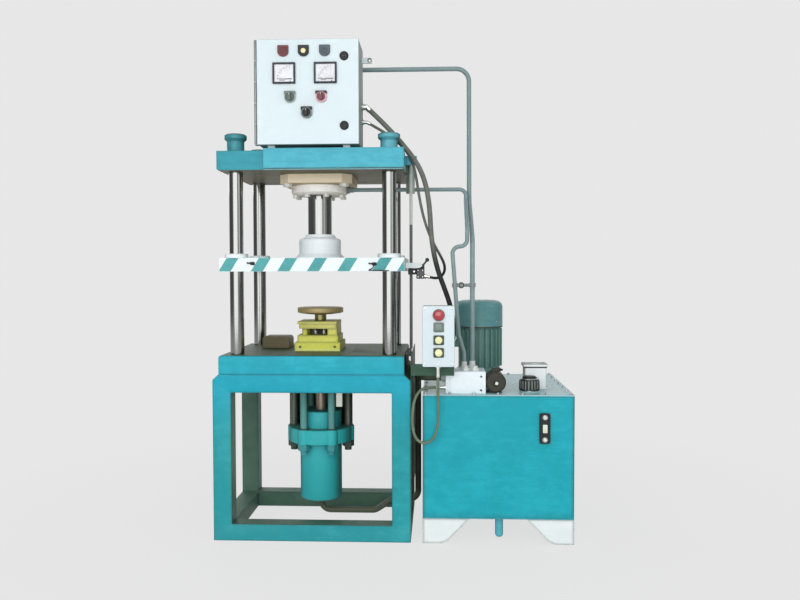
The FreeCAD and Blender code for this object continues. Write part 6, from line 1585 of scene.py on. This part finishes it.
class PRESS_OT_valve_trim(bpy.types.Operator):
    """Coil nut and plug of the solenoid valve, and the knob on the pipe link"""

    bl_idname = "press.valve_trim"
    bl_label = "Valve Trim"

    def execute(self, context):
        low, high = node_box("solenoid_valve")
        x = low.x + 45.5
        z = high.z - 42.0
        nut = Shape()
        nut.lathe([(0, -0.5), (5.0, -0.4), (7.0, 0.6), (8.2, 2.8), (8.2, 4.0)], (x, low.y, z - 4.0), "sight_white",
                  axis="y", segments=40)
        nut.piece("coil_nut", "press", "nickel")
        plug = Shape()
        plug.block((x - 15, low.y + 46, high.z - 3), (x + 15, low.y + 78, high.z + 15), "coil_black", radius=3)
        plug.lathe([(6.2, 0), (6.2, 9), (4.6, 10), (4.6, 17), (0, 17)], (x + 14, low.y + 62, high.z + 6),
                   "seal_rubber", axis="x", segments=28)
        plug.piece("coil_plug", "press", "black_plastic", bevel=1.2)
        screws("coil_plug_screw", [(x - 5, low.y + 62, high.z + 14.8)], UPWARD, 6.0, 1.6, sides=20, seed=9)
        knob = Shape()
        knob.lathe([(5.2, 0.4), (6.0, -0.4), (11.4, -0.3), (13.7, 1.2), (13.9, 4.0), (13.7, 21.0), (11.0, 22.6)],
                   LINK_KNOB, "joint_dark", axis="y", segments=44)
        knob.piece("link_knob", "press", "dark_steel")
        return {"FINISHED"}


# ---------------------------------------------------------------- panel box
class PRESS_OT_panel_trim(bpy.types.Operator):
    """Hinge sleeves, the seal behind the door and the bush of the hanging lug"""

    bl_idname = "press.panel_trim"
    bl_label = "Panel Trim"

    def execute(self, context):
        low, high = node_box("panel_door")
        step = (high.z - low.z) / 5
        for i in range(5):
            body = "press" if i % 2 == 0 else "door"
            sleeve = Shape()
            z0, z1 = low.z + i * step + 1.4, low.z + (i + 1) * step - 1.4
            sleeve.lathe([(5.55, z0), (5.8, z0 + 0.6), (5.8, z1 - 0.6), (5.55, z1)], HINGE_LINE, "hinge_steel",
                         segments=32)
            sleeve.piece(f"hinge_sleeve_{i + 1}", body, "bright_steel")
        seal = Shape()
        for left, z0, z1 in ((-221.0, low.z + 1.0, low.z + 6.0), (202.0, low.z + 6.0, high.z - 6.0),
                             (-221.0, high.z - 6.0, high.z - 1.0)):
            seal.block((left, 18.15, z0), (207.0, 18.85, z1), "seal_rubber")
        seal.piece("door_seal", "press", "dark_plastic")
        lug = Shape()
        lug.lathe([(6.2, 0.0), (9.0, -0.2), (9.4, -1.6), (6.2, -1.8)], LUG_HOLE, "joint_dark", axis="y",
                  segments=28)
        lug.piece("lug_bush", "press", "nickel")
        return {"FINISHED"}


class PRESS_OT_control_gear(bpy.types.Operator):
    """Mounting plate in the panel with its rails, contactors, breakers, terminals and wires"""

    bl_idname = "press.control_gear"
    bl_label = "Control Gear"

    def execute(self, context):
        low, high = node_box("control_gear")
        left, bottom, back = low.x - 30.0, low.z - 30.0, high.y
        face = back - 11.5
        gear = Shape()
        gear.block((low.x, back - 12, low.z), (high.x, back - 9, high.z), "plate_zinc", radius=5, axis="y")
        for x in (left + 50, high.x - 20):
            for z in (bottom + 50, high.z - 20):
                gear.lathe([(5, -9.2), (5, 0), (0, 0)], (x, back, z), "plate_zinc", axis="y", segments=20)
                gear.lathe([(0, -3.6), (5.6, -3.4), (6.4, -2.2), (6.4, 0)], (x, back - 12, z), "bright_screw",
                           axis="y", segments=6)
        for z in (bottom + 160, bottom + 310):
            gear.block((low.x + 12, face - 6, z - 17), (high.x - 12, face - 0.4, z + 17), "rail_zinc", radius=2,
                       axis="x")
        for i in range(3):
            x, z = left + 70 + i * 80, bottom + 120
            gear.block((x, face - 70, z), (x + 56, face - 6, z + 80), "gauge_black", radius=3, axis="y")
            gear.block((x + 10, face - 84, z + 18), (x + 46, face - 70, z + 62), "slate_moulding", radius=3,
                       axis="y")
            gear.block((x + 20, face - 84.6, z + 32), (x + 36, face - 84, z + 48), "sight_white", radius=2,
                       axis="y")
        for i in range(5):
            x, z = left + 70 + i * 36, bottom + 270
            gear.block((x, face - 44, z), (x + 34, face - 6, z + 80), "grey_moulding", radius=2, axis="y")
            gear.block((x, face - 60, z + 18), (x + 34, face - 44, z + 62), "dial_white", radius=2, axis="y")
            gear.block((x + 9, face - 62, z + 36), (x + 25, face - 59, z + 50), "gauge_black", radius=2, axis="y")
        for i in range(24):
            x, z = left + 60 + i * (high.x - left - 90) / 24, bottom + 60
            finish = "key_green" if i % 8 == 7 else "bezel_grey"
            gear.block((x + 0.3, face - 38, z), (x + 12.0, face - 0.2, z + 24), finish, radius=1.5, axis="x")
        gear.piece("control_gear_dressed", "press", slot_of("control_gear"), ("control_gear",), bevel=0.5)
        heads = [(left + 80 + i * 80 + k * 18, face - 70.0, bottom + z) for i in range(3) for k in range(3)
                 for z in (128, 192)]
        heads += [(left + 87 + i * 36, face - 44.0, bottom + z) for i in range(5) for z in (279, 341)]
        screws("terminal_heads", heads, FORWARD, 7.0, 1.6, sides=16, seed=13)
        wires = Shape()
        for i in range(9):
            start = (left + 80 + (i // 3) * 80 + (i % 3) * 18, face - 58.0, bottom + 119.5)
            end = (left + 78 + i * 26, face - 30.0, bottom + 84.5)
            line = [start, (start[0], start[1], start[2] - 12), (end[0], end[1] - 6, end[2] + 12), end]
            path = softened_path(line, 8.0)
            wires.tube(path, [1.6] * len(path), ("wire_blue", "gauge_black", "estop_red")[i % 3], segments=10)
        wires.piece("gear_wires", "press", "black_plastic")
        return {"FINISHED"}


# ---------------------------------------------------------------- die set
class PRESS_OT_die_trim(bpy.types.Operator):
    """Springs and guide pin in the die set's gap with a dark block of painted shade behind them, its round pad and
    its front screws
    """

    bl_idname = "press.die_trim"
    bl_label = "Die Set Trim"

    def execute(self, context):
        floor, roof = 866.0, 896.0
        gap = Shape()
        for x in (-14.0, 24.0):
            turns, points = 5, []
            for i in range(turns * 16 + 1):
                angle = math.tau * i / 16
                points.append((x + 8.0 * math.cos(angle), 236.0 + 8.0 * math.sin(angle),
                               floor + 2.2 + (roof - floor - 4.4) * i / (turns * 16)))
            gap.tube(points, [1.5] * len(points), "fitting_steel", segments=8)
        gap.piece("die_springs", "press", "bright_steel")
        # Painted shade: a dark block behind the springs, where the gap lies in shade.
        gap_shade = Shape().block((-44.0, 268.0, floor + 0.1), (46.0, 330.0, roof - 0.1), "dark_cavity", radius=3.0)
        gap_shade.piece("die_gap_shade", "press", "dark_steel", bevel=1.0)
        low, high = node_box("die_pad")
        r = (high.x - low.x) / 2
        middle = ((low.x + high.x) / 2, (low.y + high.y) / 2, 0.0)
        pad = Shape()
        rim = [(0.0, high.z), (r - 6.0, high.z), (r - 1.2, high.z - 1.6), (r, high.z - 5.0), (r, high.z - 20.0),
               (r - 1.6, high.z - 23.0), (r - 12.0, high.z - 26.5), (r - 52.0, high.z - 31.5), (28.5, high.z - 32.5)]
        pad.lathe(rim, middle, "worn_steel", segments=96)
        pad.lathe([(28.5, high.z - 32.4), (27.0, high.z - 34.0), (27.0, low.z + 3.0), (28.4, low.z), (0.0, low.z)],
                  middle, "neck_steel", segments=64)
        pad.piece("die_pad_turned", "press", "raw_steel", ("die_pad",), angle=24.0)
        posts = Shape()
        posts.lathe([(12.0, floor + 0.2), (12.6, floor + 1.4), (12.6, roof - 1.4), (12.0, roof - 0.2)],
                    (-62.0, 236.0, 0.0), "yellow_enamel", segments=40)
        posts.piece("die_guide_pin", "press", "yellow_paint")
        front = node_box("die_base")[0].y + 0.2
        places = [(x, front, 816.0) for x in (-78.0, 78.0)]
        screws("die_screws", places, FORWARD, 13.0, 4.0, seed=10, finish="stud_steel")
        return {"FINISHED"}


# ---------------------------------------------------------------- limit switch
class PRESS_OT_switch_trim(bpy.types.Operator):
    """Cover plate, screws and clamp bolt of the limit switch"""

    bl_idname = "press.switch_trim"
    bl_label = "Switch Trim"

    def execute(self, context):
        low, high = node_box("limit_switch")
        left, right = high.x - 36.0, high.x
        plate = Shape()
        plate.block((left + 3, low.y - 1.6, low.z + 4), (right - 3, low.y + 0.1, high.z - 24), "switch_plate",
                    radius=2.5, axis="y")
        plate.piece("switch_cover", "press", "black_plastic", bevel=0.6)
        corners = [(a, low.y - 1.5, b) for a in (left + 7.5, right - 7.5) for b in (low.z + 8.5, high.z - 28.5)]
        screws("switch_screws", corners, FORWARD, 5.0, 1.0, sides=20, seed=11)
        screws("clamp_bolt", [(low.x + 27.0, low.y + 1.6, (low.z + high.z) / 2)], FORWARD, 10.0, 5.0, seed=12)
        return {"FINISHED"}


# ---------------------------------------------------------------- panel and registration
OPERATORS = (PRESS_OT_finishes, PRESS_OT_stage, PRESS_OT_cables, PRESS_OT_platen_stripes,
             PRESS_OT_grease_points, PRESS_OT_pilot_lamps, PRESS_OT_meters, PRESS_OT_selectors, PRESS_OT_locks,
             PRESS_OT_rounded_bodies, PRESS_OT_screws, PRESS_OT_welds, PRESS_OT_level_gauge,
             PRESS_OT_filler_cap, PRESS_OT_return_filter, PRESS_OT_button_station, PRESS_OT_ejector_trim,
             PRESS_OT_motor_trim, PRESS_OT_valve_trim, PRESS_OT_panel_trim, PRESS_OT_die_trim,
             PRESS_OT_switch_trim, PRESS_OT_control_gear)


class PRESS_PT_panel(bpy.types.Panel):
    """Lists the steps that dress the press, with their values"""

    bl_idname = "PRESS_PT_panel"
    bl_label = "Hydraulic Press"
    bl_space_type = "VIEW_3D"
    bl_region_type = "UI"
    bl_category = "Press"

    def draw(self, context):
        for operator in OPERATORS:
            self.layout.operator(operator.bl_idname)
        for group in (context.scene.press_colours, context.scene.press_sizes):
            for key in group.__annotations__:
                self.layout.prop(group, key)


CLASSES = (PressColours, PressSizes, *OPERATORS, PRESS_PT_panel)


def register():
    for entry in CLASSES:
        bpy.utils.register_class(entry)
    bpy.types.Scene.press_colours = bpy.props.PointerProperty(type=PressColours)
    bpy.types.Scene.press_sizes = bpy.props.PointerProperty(type=PressSizes)


def unregister():
    del bpy.types.Scene.press_sizes
    del bpy.types.Scene.press_colours
    for entry in reversed(CLASSES):
        bpy.utils.unregister_class(entry)


def main():
    """Dress the press, step by step."""
    register()
    for operator in OPERATORS:
        group, step = operator.bl_idname.split(".")
        getattr(getattr(bpy.ops, group), step)()


if __name__ == "__main__":
    main()
